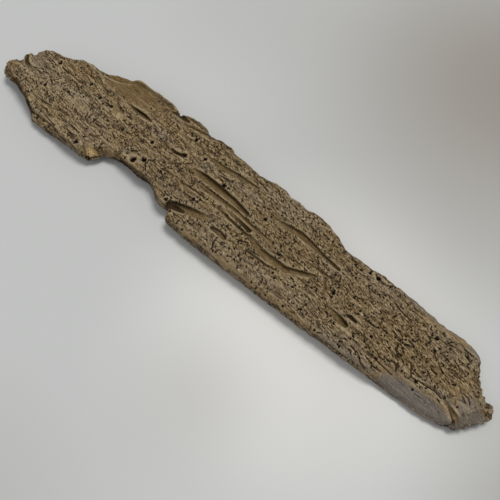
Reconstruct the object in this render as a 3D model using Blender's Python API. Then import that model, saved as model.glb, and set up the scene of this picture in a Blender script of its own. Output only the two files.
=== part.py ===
"""A piece of driftwood: a flat, sea-worn plank, bored by ship worms, lying on its underside.

The plank grew as one piece, so it is one solid.  It starts as a block cut into small cells.
The rim of the block follows the worn outline, the upper face and the underside follow two
height formulas, and the grooves, hollows and holes are pressed into the upper face.
Shapes are drawn in millimetres and turned into metres at the end: X runs along the grain,
Y across the plank from the near edge to the far edge, and Z upwards.
"""

import bmesh
import bpy
import numpy as np

MM = 0.001

# How finely the block is cut, and how many triangles the finished solid keeps.
CELLS_LONG = 540
CELLS_WIDE = 108
CELLS_HIGH = 10
TRIANGLES = 11600

# Middle of the plank's plan box on the drawing.  It becomes X = 0, Y = 0.
PLAN_MIDDLE = (-3.75, 3.6)

# The worn outline at the widest height of the side walls, in four stretches.
NEAR_EDGE = [
    (-292, -28), (-285.7, -29.2), (-279.5, -30.3), (-270.7, -33.2), (-259.7, -38), (-252.4, -40),
    (-245.2, -43.8), (-239.3, -46.7), (-235, -48.6), (-223, -50), (-190, -49.8), (-160, -49.5),
    (-152, -48), (-147.5, -43.5), (-144.5, -38), (-143, -34.5), (-139, -31.5), (-131, -30.5),
    (-121, -29.5), (-111, -29.5), (-101, -30.5), (-92, -31.5), (-86, -30), (-78, -29.5),
    (-72, -32.5), (-68, -35.5), (-63, -39), (-56, -40.5), (-48, -41), (-43.5, -39.5),
    (-42.3, -42), (-41.5, -48), (-38, -51), (-31, -51.8), (-4, -53.3), (100, -53.3), (150, -53),
    (182, -52), (198, -50.6), (231, -49.3), (250, -48.8), (268, -46.4),
]
RIGHT_END = [
    (268, -46.4), (276, -43.8), (283, -41.6), (288.5, -39), (291.5, -36), (292, -33),
    (294.5, -29), (298, -24.8), (302, -20), (304, -15.5), (304, -11.5), (302, -6.5),
    (298.5, -3.8), (292.5, -3.5), (287.5, -1.2), (284, 3), (279.8, 7.5), (276.3, 12.5),
    (273.6, 17.5), (271.5, 22.5), (268.5, 26),
]
FAR_EDGE = [
    (-287.3, 26.1), (-280, 27.9), (-271.3, 30), (-264.4, 30.6), (-255.5, 32.6), (-250.5, 36.8),
    (-246, 39.8), (-236, 42.8), (-226, 44), (-214, 46.2), (-208, 48.5), (-204, 51.5),
    (-198, 53.3), (-191, 55.2), (-184, 57.2), (-178, 59.3), (-169, 60.3), (-156, 60.5),
    (-141, 60), (-126, 59.2), (-119, 56.5), (-113, 53.2), (-107, 55.3), (-99, 58),
    (-89, 58.6), (-79, 57.6), (-74.5, 54.3), (-67, 51.3), (-61, 53), (-53, 54.4), (-41, 54.2),
    (-36, 50.3), (-26, 50.3), (-11, 48.8), (-1, 47), (14, 48.8), (21, 50.4), (31, 50.4),
    (39, 47.4), (51, 47.8), (61, 46.2), (69, 48.2), (79, 47.6), (90, 45.6), (99, 43.2),
    (109, 38), (117, 35.6), (129, 35.2), (161, 36), (169, 34.6), (196, 34.2), (224, 30.6),
    (244, 30.6), (258, 30), (268.5, 26),
]
LEFT_END = [
    (-292, -28), (-298.4, -28.3), (-302.6, -26.7), (-305.8, -24.2), (-308.6, -20.2),
    (-311.2, -14.5), (-311.6, -10.3), (-308.8, -7.3), (-305.5, -4.8), (-300.8, -2.6),
    (-302.4, 1.9), (-304.6, 5.6), (-303.2, 9), (-298.3, 9.7), (-294.6, 12.7), (-294.2, 18.2),
    (-292, 23.6), (-287.3, 26.1),
]
OUTLINE_SOFTENING = 1.2
DIRECTION_SOFTENING = 2.5

# Side walls: widest at WAIST of their height, leaning in above and below it.
WAIST = 0.38
LEAN_TOP = 1.4
LEAN_BOTTOM = 3.2
LEAN_TOP_RIGHT_END = 8.5
LEAN_TOP_LEFT_END = 3.0
RIGHT_END_SPAN = (274, 292)
LEFT_END_SPAN = (280, 300)
TOP_ROUNDING = 3.0
BOTTOM_ROUNDING = 4.0

# Height of the upper face along the plank, and how much lower it is at the edges.
SPINE = [
    (-310, 19), (-290, 20), (-255, 20.8), (-200, 21.5), (-120, 22), (0, 22.5), (100, 21.5),
    (190, 19.5), (250, 18), (284, 16), (300, 12),
]
CROWN = 1.3

# Random swells of the face: height, length along the grain, width across it and seed.
SWELL = (1.1, 64.0, 24.0, 5)
GRAIN_WAVE = (0.8, 42.0, 5.5, 6)

# The smooth scoop along the far edge, and the lip that stands up behind it.
SCOOP_SPAN = (-214, -188, -124, -108)
SCOOP_DEPTH = 5.6
SCOOP_WIDTH = 30.0
LIP_SPAN = (-190, -174, -134, -114)
LIP_HEIGHT = 5.2
LIP_WIDTH = 4.4
LIP_CREST = 2.2
LIP_FOOT = 5.0
# The ledge that lies lower, left of the scoop, behind this ridge.
RIDGE = [(-234, 41), (-222, 36.5), (-206, 37.5), (-196, 40.5), (-187, 45), (-178, 50.5)]
RIDGE_HEIGHT = 0.9
RIDGE_WIDTH = 1.8
LEDGE_SPAN = (-234, -226, -190, -176)
LEDGE_DROP = 4.8
LEDGE_SLOPE_WIDTH = 3.2
LEDGE_LEFT_IN_SCOOP = 0.25

# The near edge at the left: the upper layer ends at this rim and a lower ledge sticks out.
UPPER_RIM = [(-252, -36), (-244, -39.5), (-236, -42.5), (-220, -42.5), (-205, -43), (-186, -46.5)]
NEAR_LEDGE_SPAN = (-254, -244, -200, -186)
NEAR_LEDGE_DROP = 4.0
NEAR_LEDGE_FURROW = 1.4
FURROW_PLACE = 1.6
FURROW_WIDTH = 1.1

# The broken flank at the left of the bite, which slopes down to the bite.
BITE_FLANK = [(-154, -46.5), (-148.5, -42), (-145, -38), (-143, -34), (-138, -31), (-128, -29.5)]
FLANK_DROP = 6.0
FLANK_WIDTH = 11.0
FLANK_HOLLOWING = 1.5

# The worn facet along the near edge at the right end.
FACET_SPAN = (194, 222)
FACET_START_Y = -33.0
FACET_SLOPE = 0.62
FACET_BEND = 2.0

# Ship-worm grooves: points along the middle with half width and depth.
GROOVES = {
    "slot": [(-161, 25.5, 1.4, 1), (-151, 24.5, 2.6, 4), (-138, 24.3, 2.8, 4.2), (-128, 23.5, 1.8, 2)],
    "hook": [(-87, 12.2, 1.6, 2.5), (-82, 11.6, 1.5, 4), (-77, 12.6, 1.5, 4), (-72.3, 14.4, 2.3, 6)],
    "far long": [(-54, 29, 1.5, 1), (-30, 28.2, 3, 2.6), (-10, 29, 3, 2.4), (9, 30, 2, 1)],
    "main": [(-53, 7.5, 2, 1.5), (-40, 7.6, 3.6, 4), (-20, 6.2, 3.8, 4), (2, 4.4, 3.5, 3.6),
             (22, 1, 2, 1.5)],
    "second": [(-36, -1, 1.5, 1), (-15, -1.8, 2.6, 3), (8, -2.2, 2.6, 3), (32, -5.5, 2.2, 2.6),
               (61, -7.5, 1.6, 1)],
    "end pocket": [(6, -7, 1.4, 1), (20, -8.6, 1.8, 2.4), (34, -10.4, 2.2, 4.4)],
    "narrow": [(-5, -10.8, 0.9, 1), (12, -13.2, 1.3, 2.2), (32, -15.2, 1.4, 2.4), (46, -15.5, 1.1, 1.2)],
    "broad": [(38, -15.5, 2, 1), (58, -21, 3.6, 2.6), (76, -21, 3.8, 3.2), (86, -20.5, 3.2, 3.2),
              (97, -15, 2.6, 3.2), (111, -8.2, 1.6, 2.6)],
    "near lines": [(46, -28.4, 1.4, 2), (70, -28.8, 1.2, 1.8), (82, -26.3, 1.1, 1.2)],
    "upper right": [(42, 14, 1.5, 0.8), (60, 16, 3, 2.6), (75, 17.8, 3.2, 3), (92, 15.6, 2.6, 3),
                    (104, 13.8, 1.8, 3.4), (124, 11.2, 1.4, 3.6)],
    "thin": [(95, -1.5, 1, 1), (115, -0.5, 1.1, 1.8), (131, 0.4, 0.9, 1.2)],
    "thin curve": [(120.8, -2, 1, 1.2), (121.8, -7, 1.2, 1.8), (126, -12, 1, 1.4)],
    "right slot": [(141, -26, 1.8, 1.5), (152, -27.2, 2.2, 3), (161, -29, 2, 4.2)],
    "step": [(156, -20, 1.8, 2), (166, -20.2, 2.2, 4.2)],
    "near pocket": [(6, -31.6, 2, 3.2), (14, -30.6, 2.4, 2.8), (21, -32, 2.2, 3.6)],
    "notch hollow": [(-45, -38, 3, 6), (-37, -36.5, 3.4, 6.5), (-29, -35.5, 2.2, 3.6)],
    "notch trough": [(-44, -37, 4, 4), (-30, -33, 4.4, 3.4), (-12, -28.5, 4.2, 2.6), (3, -25, 3, 1)],
    "far pocket": [(-118, 51, 2, 2.5), (-108, 49.5, 2.8, 4.4), (-98, 48.5, 2, 2.6)],
    "far crease": [(-106, 52, 1.3, 1.6), (-92, 52.5, 1.4, 2), (-79, 52, 1.2, 1.2)],
    "far line": [(-98, 43.5, 1.2, 1.4), (-75, 47, 1.5, 2), (-53, 50, 1.2, 1.4)],
    "left crease": [(-302, 8, 2.2, 4), (-296, 1.5, 2.2, 4), (-290, -3.5, 1.9, 3), (-279, -6, 1.4, 1)],
    "end crease": [(266, -29, 1.5, 1.2), (276, -32.5, 2, 2.4), (284, -34.5, 1.6, 1.4)],
    "crack": [(-232, -36, 0.9, 1.2), (-224, -34.6, 1.1, 2), (-215, -38.5, 1, 1.4)],
}
FAR_WALL_SHARE = 0.32
NEAR_WALL_SHARE = 0.75

# Beetle tracks scattered over the face, most of them along the grain.
TRACK_SEED = 41
TRACK_COUNT = 90
TRACK_HALF_WIDTH = (1.0, 1.5)
TRACK_DEPTH = (1.2, 2.0)
TRACK_START = (0.7, 0.5)
TRACK_STEP = 3.2
TRACK_STEPS = (2, 6)
TRACK_TURN = 0.28
TRACK_CLEARANCE = 5.0
TRACK_ZONE = (-290.0, 275.0)
TRACK_MARGIN = 7.0
TRACK_HEADING = (-0.25, 0.35)
# Where the face is smooth: the scoop between two places and beyond a line, and the worn facet.
SCOOP_GROUND = (-220.0, -118.0, 28.0)
FACET_GROUND = (192.0, -30.0)

# Round bore holes: place, radius and depth.  Each reaches its depth at HOLE_FLOOR of its radius.
HOLES = [
    (-261, 19.5, 2.4, 5), (-213, 19.5, 1.9, 3.5), (-250, -12, 1.9, 3.5), (-191, 12, 2, 3),
    (-174, 12, 2, 3), (-109, -21.5, 3.1, 6.5), (-101, -15, 2.8, 6), (-109, 5.5, 1.9, 4),
    (-53, 25, 2.2, 4), (-76, 37, 1.9, 4), (-30, -18, 1.8, 2.4), (-169, -43.8, 2.1, 3.5),
    (-17.5, 12.5, 2.1, 4), (-51, -35.5, 2, 3.6), (38, 9, 1.7, 2.4), (134, -10, 1.8, 2.6),
    (157, 28.5, 2.1, 4), (230, 14, 1.7, 2),
]
HOLE_FLOOR = 0.65
HOLE_RIM = 1.25

# The underside lies a little clear of the ground and touches it on four worn flats.
BELLY = 2.4
BELLY_WAVE = (0.5, 37.0, 21.0)
BELLY_SLOPE = 0.07
FLATS = [(-222, -16, 17), (-150, 30, 14), (206, -22, 21), (196, 14, 12)]
# The left end is bent upwards: where the underside starts to rise, where it ends and how much.
LIFT_SPAN = (-262, -312)
LIFT = 4.5
FLAT_TOLERANCE = 0.06

WOOD_COLOUR = (0.28, 0.215, 0.13, 1.0)
WOOD_ROUGHNESS = 0.85


def clear_scene():
    for item in list(bpy.data.objects):
        bpy.data.objects.remove(item, do_unlink=True)


def ease(value):
    """A smooth step from 0 to 1 as the value goes from 0 to 1."""
    value = np.clip(value, 0.0, 1.0)
    return value * value * (3.0 - 2.0 * value)


def between(value, start, end):
    """A smooth step that rises from 0 at start to 1 at end."""
    return ease((value - start) / (end - start))


def swells(x, y, height, length, width, seed):
    """Smooth random rises and dips that repeat nowhere on the plank."""
    table = np.random.default_rng(seed).uniform(-height, height, (64, 64))
    across, up = x / length + 32.0, y / width + 32.0
    i, j = np.floor(across).astype(int), np.floor(up).astype(int)
    part_x, part_y = ease(across - i), ease(up - j)
    low = table[i, j] + part_x * (table[i + 1, j] - table[i, j])
    high = table[i, j + 1] + part_x * (table[i + 1, j + 1] - table[i, j + 1])
    return low + part_y * (high - low)


def columns(points):
    return np.array(points, dtype=float).T


def resample(points, fractions):
    """Points on a polyline at the given fractions of its length."""
    line = columns(points)
    steps = np.hypot(*np.diff(line, axis=1))
    length = np.concatenate(([0.0], np.cumsum(steps)))
    return np.stack([np.interp(fractions * length[-1], length, row) for row in line], axis=1)


def blurred(values, width):
    """A closed row of values, each averaged with its neighbours."""
    reach = int(3 * width) + 1
    weights = np.exp(-0.5 * (np.arange(-reach, reach + 1) / width) ** 2)
    padded = np.concatenate((values[-reach:], values, values[:reach]))
    return np.convolve(padded, weights / weights.sum(), mode="valid")


def column_places():
    """X of each column of cells, set closer where an edge turns steeply."""
    x = np.linspace(FAR_EDGE[0][0], FAR_EDGE[-1][0], 4000)
    travel = np.hypot(1.0, np.gradient(near_y(x), x)) + np.hypot(1.0, np.gradient(far_y(x), x))
    share = np.concatenate(([0.0], np.cumsum(travel[1:])))
    return np.interp(np.linspace(0.0, share[-1], CELLS_LONG + 1), share, x)


def outline():
    """The softened outline as one closed loop, with its outward directions."""
    x = column_places()
    part_x = (x - x[0]) / (x[-1] - x[0])
    near_x = NEAR_EDGE[0][0] + part_x * (NEAR_EDGE[-1][0] - NEAR_EDGE[0][0])
    near_side = np.stack((near_x, near_y(near_x)), axis=1)
    far_side = np.stack((x, far_y(x)), axis=1)
    rows = np.linspace(0.0, 1.0, CELLS_WIDE + 1)
    right_side, left_side = resample(RIGHT_END, rows), resample(LEFT_END, rows)
    loop = np.concatenate((near_side[:-1], right_side[:-1], far_side[:0:-1], left_side[:0:-1]))
    loop = np.stack([blurred(loop[:, axis], OUTLINE_SOFTENING) for axis in (0, 1)], axis=1)
    ahead = np.roll(loop, -2, axis=0) - np.roll(loop, 2, axis=0)
    ahead = np.stack([blurred(ahead[:, axis], DIRECTION_SOFTENING) for axis in (0, 1)], axis=1)
    outward = np.stack((ahead[:, 1], -ahead[:, 0]), axis=1)
    outward /= np.linalg.norm(outward, axis=1)[:, None]
    return loop, outward, part_x


def near_y(x):
    return np.interp(x, *columns(NEAR_EDGE))


def far_y(x):
    return np.interp(x, *columns(FAR_EDGE))


def wall_inset(share, x):
    """How far the side wall stands in from the outline at a share of its height."""
    lean = LEAN_TOP + (LEAN_TOP_RIGHT_END - LEAN_TOP) * between(x, *RIGHT_END_SPAN)
    lean = lean + (LEAN_TOP_LEFT_END - LEAN_TOP) * between(-x, *LEFT_END_SPAN)
    above = np.clip((share - WAIST) / (1.0 - WAIST), 0.0, 1.0) ** 2
    below = np.clip((WAIST - share) / WAIST, 0.0, 1.0) ** 2
    return lean * above + LEAN_BOTTOM * below


def plan_at(rim, part_x, i, j):
    """Places inside a closed rim: four edges blended into one patch."""
    n, m = CELLS_LONG, CELLS_WIDE
    near, right = rim[:n + 1], rim[n:n + m + 1]
    far = rim[n + m:2 * n + m + 1][::-1]
    left = np.concatenate((rim[2 * n + m:], rim[:1]))[::-1]
    s, t = part_x[i][:, None], (j / m)[:, None]
    corners = ((1 - s) * (1 - t) * near[0] + s * (1 - t) * near[-1]
               + (1 - s) * t * far[0] + s * t * far[-1])
    return (1 - t) * near[i] + t * far[i] + (1 - s) * left[j] + s * right[j] - corners


def line_gap(x, y, path):
    """Distance from each place to a polyline."""
    gap = np.full_like(x, 1e6)
    for (x0, y0), (x1, y1) in zip(path, path[1:]):
        dx, dy = x1 - x0, y1 - y0
        along = np.clip(((x - x0) * dx + (y - y0) * dy) / (dx * dx + dy * dy), 0.0, 1.0)
        gap = np.minimum(gap, np.hypot(x - x0 - along * dx, y - y0 - along * dy))
    return gap


def groove_depth(x, y, path):
    """Depth pressed by one worm groove, steep on its far side and easy on its near side."""
    depth = np.zeros_like(x)
    for (x0, y0, half0, deep0), (x1, y1, half1, deep1) in zip(path, path[1:]):
        dx, dy = x1 - x0, y1 - y0
        along = np.clip(((x - x0) * dx + (y - y0) * dy) / (dx * dx + dy * dy), 0.0, 1.0)
        gap = np.hypot(x - x0 - along * dx, y - y0 - along * dy)
        half = half0 + along * (half1 - half0)
        deep = deep0 + along * (deep1 - deep0)
        far_side = dx * (y - y0) - dy * (x - x0) > 0.0
        wall = np.where(far_side, FAR_WALL_SHARE, NEAR_WALL_SHARE)
        depth = np.maximum(depth, deep * ease((1.0 - gap / half) / wall))
    return depth


def smooth_ground(x, y):
    """True in the scoop and on the worn facet, which have no beetle tracks."""
    start, end, line = SCOOP_GROUND
    return (start < x < end and y > line) or (x > FACET_GROUND[0] and y < FACET_GROUND[1])


def beetle_tracks():
    """Short wandering grooves at seeded random places, in the form of the worm grooves."""
    draw = np.random.default_rng(TRACK_SEED)
    grooves = [[point[:2] for point in path] for path in GROOVES.values()]
    tracks = []
    while len(tracks) < TRACK_COUNT:
        x = draw.uniform(*TRACK_ZONE)
        y = draw.uniform(near_y(x) + TRACK_MARGIN, far_y(x) - TRACK_MARGIN)
        heading = draw.normal(*TRACK_HEADING)
        half, deep = draw.uniform(*TRACK_HALF_WIDTH), draw.uniform(*TRACK_DEPTH)
        track = [(x, y, half * TRACK_START[0], deep * TRACK_START[1])]
        for _ in range(draw.integers(*TRACK_STEPS)):
            heading += draw.normal(0.0, TRACK_TURN)
            x, y = x + TRACK_STEP * np.cos(heading), y + TRACK_STEP * np.sin(heading)
            track.append((x, y, half, deep))
        end_x, end_y = np.array([track[0][:2], track[-1][:2]]).T
        clear = min(line_gap(end_x, end_y, path).min() for path in grooves) > TRACK_CLEARANCE
        inside = near_y(x) + TRACK_MARGIN < y < far_y(x) - TRACK_MARGIN
        if clear and inside and not smooth_ground(track[0][0], track[0][1]) and not smooth_ground(x, y):
            tracks.append(track)
    return tracks


def hole_depth(x, y, hole):
    centre_x, centre_y, radius, depth = hole
    gap = np.hypot(x - centre_x, y - centre_y) / radius
    return depth * ease((HOLE_RIM - gap) / (HOLE_RIM - HOLE_FLOOR))


def stretch(x, starts, full, fades, ends):
    """A smooth rise from 0 to 1 and back to 0 along the plank."""
    return between(x, starts, full) * (1.0 - between(x, fades, ends))


def far_side_forms(x, y, far):
    """Scoop, lip and lower ledge along the far edge: what they add to the height."""
    inside = far - y
    scoop, lip = stretch(x, *SCOOP_SPAN), stretch(x, *LIP_SPAN)
    height = -scoop * SCOOP_DEPTH * (1.0 - between(inside, LIP_WIDTH, SCOOP_WIDTH))
    height = height + lip * LIP_HEIGHT * (1.0 - between(inside, LIP_CREST, LIP_FOOT))
    behind = y - np.interp(x, *columns(RIDGE))
    ledge = stretch(x, *LEDGE_SPAN)
    kept = 1.0 + (LEDGE_LEFT_IN_SCOOP - 1.0) * scoop
    height = height - ledge * LEDGE_DROP * kept * between(behind, 0.0, LEDGE_SLOPE_WIDTH)
    return height + ledge * RIDGE_HEIGHT * np.exp(-(behind / RIDGE_WIDTH) ** 2)


def near_side_forms(x, y):
    """Lower ledge, broken flank and worn facet along the near edge."""
    outside = np.interp(x, *columns(UPPER_RIM)) - y
    ledge = stretch(x, *NEAR_LEDGE_SPAN)
    height = -ledge * NEAR_LEDGE_DROP * between(outside, 0.0, FURROW_PLACE)
    height = height - ledge * NEAR_LEDGE_FURROW * np.exp(-((outside - FURROW_PLACE) / FURROW_WIDTH) ** 2)
    flank = line_gap(x, y, BITE_FLANK)
    height = height - FLANK_DROP * (1.0 - ease(flank / FLANK_WIDTH)) ** FLANK_HOLLOWING
    facet = np.logaddexp(0.0, (FACET_START_Y - y) / FACET_BEND) * FACET_BEND
    return height - FACET_SLOPE * facet * between(x, *FACET_SPAN)


def top_height(x, y, near, far, tracks):
    """Height of the upper face before its rim is rounded."""
    across = (2.0 * y - near - far) / (far - near)
    height = np.interp(x, *columns(SPINE)) - CROWN * across ** 2
    height = height + swells(x, y, *SWELL) + swells(x, y, *GRAIN_WAVE)
    height = height + far_side_forms(x, y, far) + near_side_forms(x, y)
    pressed = np.zeros_like(x)
    for path in [*GROOVES.values(), *tracks]:
        pressed = np.maximum(pressed, groove_depth(x, y, path))
    for hole in HOLES:
        pressed = np.maximum(pressed, hole_depth(x, y, hole))
    return height - pressed


def bottom_height(x, y):
    """Height of the underside: level with the ground on the flats, a little above it elsewhere."""
    rise, length, width = BELLY_WAVE
    height = BELLY + rise * np.sin(x / length) * np.cos(y / width)
    for flat_x, flat_y, radius in FLATS:
        clear = (np.hypot(x - flat_x, y - flat_y) - radius) * BELLY_SLOPE
        height = np.minimum(height, np.clip(clear, 0.0, None))
    return height + LIFT * between(x, *LIFT_SPAN)


def rounded(gap, radius):
    """Drop of a rounded rim at a distance in from the rim."""
    left = np.clip(radius - gap, 0.0, radius)
    return radius - np.sqrt(radius * radius - left * left)


def rim_gap(places, rim):
    """Distance from each place to the nearest point of a rim, worked out in slices."""
    gap = np.empty(len(places))
    for start in range(0, len(places), 2000):
        part = places[start:start + 2000]
        gap[start:start + 2000] = np.hypot(part[:, None, 0] - rim[None, :, 0],
                                           part[:, None, 1] - rim[None, :, 1]).min(axis=1)
    return gap


def cell_block():
    """A block two units wide each way, cut into cells along all three axes."""
    block = bmesh.new()
    bmesh.ops.create_cube(block, size=2.0)
    for axis, cells in enumerate((CELLS_LONG, CELLS_WIDE, CELLS_HIGH)):
        long_edges = [edge for edge in block.edges
                      if abs(edge.verts[0].co[axis] - edge.verts[1].co[axis]) > 1.99]
        bmesh.ops.subdivide_edges(block, edges=long_edges, cuts=cells - 1, use_grid_fill=True)
    mesh = bpy.data.meshes.new("cell block")
    block.to_mesh(mesh)
    block.free()
    return mesh


def shape_block(mesh):
    """Moves every point of the block to its place on the plank."""
    points = np.empty(len(mesh.vertices) * 3)
    mesh.vertices.foreach_get("co", points)
    cell = (points.reshape(-1, 3) + 1.0) * 0.5 * (CELLS_LONG, CELLS_WIDE, CELLS_HIGH)
    i, j, k = np.rint(cell).astype(int).T
    loop, outward, part_x = outline()
    rims = [loop - outward * wall_inset(level / CELLS_HIGH, loop[:, 0])[:, None]
            for level in range(CELLS_HIGH + 1)]

    tracks = beetle_tracks()

    def upper(places):
        x, y = places.T
        drop = rounded(rim_gap(places, rims[-1]), TOP_ROUNDING)
        return top_height(x, y, near_y(x), far_y(x), tracks) - drop

    def under(places):
        rise = rounded(rim_gap(places, rims[0]), BOTTOM_ROUNDING)
        return bottom_height(*places.T) + rise

    placed = np.empty((len(i), 3))
    for level, rim in enumerate(rims):
        picked = k == level
        placed[picked, :2] = plan_at(rim, part_x, i[picked], j[picked])
        share = level / CELLS_HIGH
        ceiling = upper(plan_at(rims[-1], part_x, i[picked], j[picked])) if level else 0.0
        floor = under(plan_at(rims[0], part_x, i[picked], j[picked])) if share < 1.0 else 0.0
        placed[picked, 2] = share * ceiling + (1.0 - share) * floor
    placed[:, :2] -= PLAN_MIDDLE
    mesh.vertices.foreach_set("co", (placed * MM).ravel())
    mesh.update()


def thinned(mesh):
    """The same form with TRIANGLES triangles, the small ones kept where the form is fine."""
    dense = bpy.data.objects.new("dense plank", mesh)
    bpy.context.scene.collection.objects.link(dense)
    thin = dense.modifiers.new("thin", "DECIMATE")
    thin.ratio = TRIANGLES / (2.0 * len(mesh.polygons))
    thin.use_collapse_triangulate = True
    graph = bpy.context.evaluated_depsgraph_get()
    plank = bpy.data.meshes.new_from_object(dense.evaluated_get(graph))
    bpy.data.objects.remove(dense, do_unlink=True)
    bpy.data.meshes.remove(mesh)
    return plank


def settle(mesh):
    """Levels the worn flats and puts the middle of the underside at the origin."""
    points = np.empty(len(mesh.vertices) * 3)
    mesh.vertices.foreach_get("co", points)
    points = points.reshape(-1, 3)
    points[:, 2][points[:, 2] < FLAT_TOLERANCE * MM] = 0.0
    points[:, :2] -= (points[:, :2].min(axis=0) + points[:, :2].max(axis=0)) / 2.0
    mesh.vertices.foreach_set("co", points.ravel())
    mesh.update()


def weathered_wood():
    material = bpy.data.materials.new("weathered wood")
    material.use_nodes = True
    shader = material.node_tree.nodes["Principled BSDF"]
    shader.inputs["Base Color"].default_value = WOOD_COLOUR
    shader.inputs["Roughness"].default_value = WOOD_ROUGHNESS
    shader.inputs["Metallic"].default_value = 0.0
    return material


def main():
    clear_scene()
    block = cell_block()
    shape_block(block)
    mesh = thinned(block)
    settle(mesh)
    mesh.name = "driftwood"
    mesh.materials.clear()
    mesh.materials.append(weathered_wood())
    plank = bpy.data.objects.new("driftwood", mesh)
    collection = bpy.data.collections.new("piece of driftwood")
    bpy.context.scene.collection.children.link(collection)
    collection.objects.link(plank)


main()
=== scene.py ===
"""Looks of the piece of driftwood: the same plank with its fine weathering, on a pale floor.

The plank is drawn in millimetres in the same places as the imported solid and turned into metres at
the end.  X runs along the grain, Y from the near edge to the far edge, Z upwards.
"""

import math

import bmesh
import bpy
import numpy as np
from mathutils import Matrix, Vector


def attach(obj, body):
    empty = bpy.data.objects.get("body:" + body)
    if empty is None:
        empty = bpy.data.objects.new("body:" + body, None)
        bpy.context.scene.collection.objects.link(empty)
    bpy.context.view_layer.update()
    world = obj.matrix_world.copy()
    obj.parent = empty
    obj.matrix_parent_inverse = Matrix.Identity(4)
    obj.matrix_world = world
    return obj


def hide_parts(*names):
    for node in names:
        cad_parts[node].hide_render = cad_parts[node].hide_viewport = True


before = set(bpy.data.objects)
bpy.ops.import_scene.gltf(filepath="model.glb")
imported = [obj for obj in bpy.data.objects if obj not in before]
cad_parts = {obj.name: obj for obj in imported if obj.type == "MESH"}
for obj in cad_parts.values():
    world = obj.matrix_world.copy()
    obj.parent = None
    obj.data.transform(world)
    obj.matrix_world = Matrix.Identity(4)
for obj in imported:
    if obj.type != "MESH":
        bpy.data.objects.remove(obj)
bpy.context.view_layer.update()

MM = 0.001
PIECE = "driftwood_plank"
NODE = "driftwood"

# How finely the block is cut, the spacing of the face grids, and the triangles that are kept.
CELLS_LONG = 1080
CELLS_WIDE = 200
CELLS_HIGH = 26
GRID_STEP = 0.5
GRID_CORNER = (-316.0, -62.0)
GRID_SIZE = (632.0, 132.0)
TRIANGLES = 196000
# Edges of the uncut block are 2 long, and those of its cells are shorter than this.
WHOLE_EDGE = 1.99
# Places that the edges are sampled at, and how rim distances are worked out in slices.
EDGE_SAMPLES = 4000
SLICE = 4000
COARSE_STEP = 8
COARSE_REACH = 6.0

# Middle of the plank's plan box on the drawing.
PLAN_MIDDLE = (-3.75, 3.6)

# The worn outline at the widest height of the side walls, in four stretches.
NEAR_EDGE = [
    (-292, -28), (-285.7, -29.2), (-279.5, -30.3), (-270.7, -33.2), (-259.7, -38), (-252.4, -40),
    (-245.2, -43.8), (-239.3, -46.7), (-235, -48.6), (-223, -50), (-190, -49.8), (-160, -49.5),
    (-152, -48), (-147.5, -43.5), (-144.5, -38), (-143, -34.5), (-139, -31.5), (-131, -30.5),
    (-121, -29.5), (-111, -29.5), (-101, -30.5), (-92, -31.5), (-86, -30), (-78, -29.5),
    (-72, -32.5), (-68, -35.5), (-63, -39), (-56, -40.5), (-48, -41), (-43.5, -39.5), (-42.3, -42),
    (-41.5, -48), (-38, -51), (-31, -51.8), (-4, -53.3), (100, -53.3), (150, -53), (182, -52),
    (198, -50.6), (231, -49.3), (250, -48.8), (268, -46.4),
]
RIGHT_END = [
    (268, -46.4), (276, -43.8), (283, -41.6), (288.5, -39), (291.5, -36), (292, -33), (294.5, -29),
    (298, -24.8), (302, -20), (304, -15.5), (304, -11.5), (302, -6.5), (298.5, -3.8),
    (292.5, -3.5), (287.5, -1.2), (284, 3), (279.8, 7.5), (276.3, 12.5), (273.6, 17.5),
    (271.5, 22.5), (268.5, 26),
]
FAR_EDGE = [
    (-287.3, 26.1), (-280, 27.9), (-271.3, 30), (-264.4, 30.6), (-255.5, 32.6), (-250.5, 36.8),
    (-246, 39.8), (-236, 42.8), (-226, 44), (-214, 46.2), (-208, 48.5), (-204, 51.5), (-198, 53.3),
    (-191, 55.2), (-184, 57.2), (-178, 59.3), (-169, 60.3), (-156, 60.5), (-141, 60), (-126, 59.2),
    (-119, 56.5), (-113, 53.2), (-107, 55.3), (-99, 58), (-89, 58.6), (-79, 57.6), (-74.5, 54.3),
    (-67, 51.3), (-61, 53), (-53, 54.4), (-41, 54.2), (-36, 50.3), (-26, 50.3), (-11, 48.8),
    (-1, 47), (14, 48.8), (21, 50.4), (31, 50.4), (39, 47.4), (51, 47.8), (61, 46.2), (69, 48.2),
    (79, 47.6), (90, 45.6), (99, 43.2), (109, 38), (117, 35.6), (129, 35.2), (161, 36),
    (169, 34.6), (196, 34.2), (224, 30.6), (244, 30.6), (258, 30), (268.5, 26),
]
LEFT_END = [
    (-292, -28), (-298.4, -28.3), (-302.6, -26.7), (-305.8, -24.2), (-308.6, -20.2),
    (-311.2, -14.5), (-311.6, -10.3), (-308.8, -7.3), (-305.5, -4.8), (-300.8, -2.6),
    (-302.4, 1.9), (-304.6, 5.6), (-303.2, 9), (-298.3, 9.7), (-294.6, 12.7), (-294.2, 18.2),
    (-292, 23.6), (-287.3, 26.1),
]
OUTLINE_SOFTENING = 1.6
DIRECTION_SOFTENING = 5.0
DIRECTION_STEP = 4

# Side walls: widest at WAIST of their height, leaning in above and below it.
WAIST = 0.38
LEAN_TOP = 1.4
LEAN_BOTTOM = 3.2
LEAN_TOP_RIGHT_END = 8.5
LEAN_TOP_LEFT_END = 3.0
RIGHT_END_SPAN = (274, 292)
LEFT_END_SPAN = (280, 300)
TOP_ROUNDING = 3.0
BOTTOM_ROUNDING = 4.0
WALL_HEIGHT = 18.0
# Side walls are painted darker all round: partly their own darker tone, partly painted shade.
WALL_TONE_AND_SHADE = 0.32
WALL_GREY = 0.55
# The worn facet runs on down the near wall here: where along the plank, how far the wall has to
# face the near side, and how much calmer and smoother than the rest it is.
FACET_WALL_SPAN = (190, 225)
FACET_WALL_FACING = (0.2, 0.6)
FACET_WALL_CALM = 0.8
FACET_WALL_WEAR = 0.9
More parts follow.
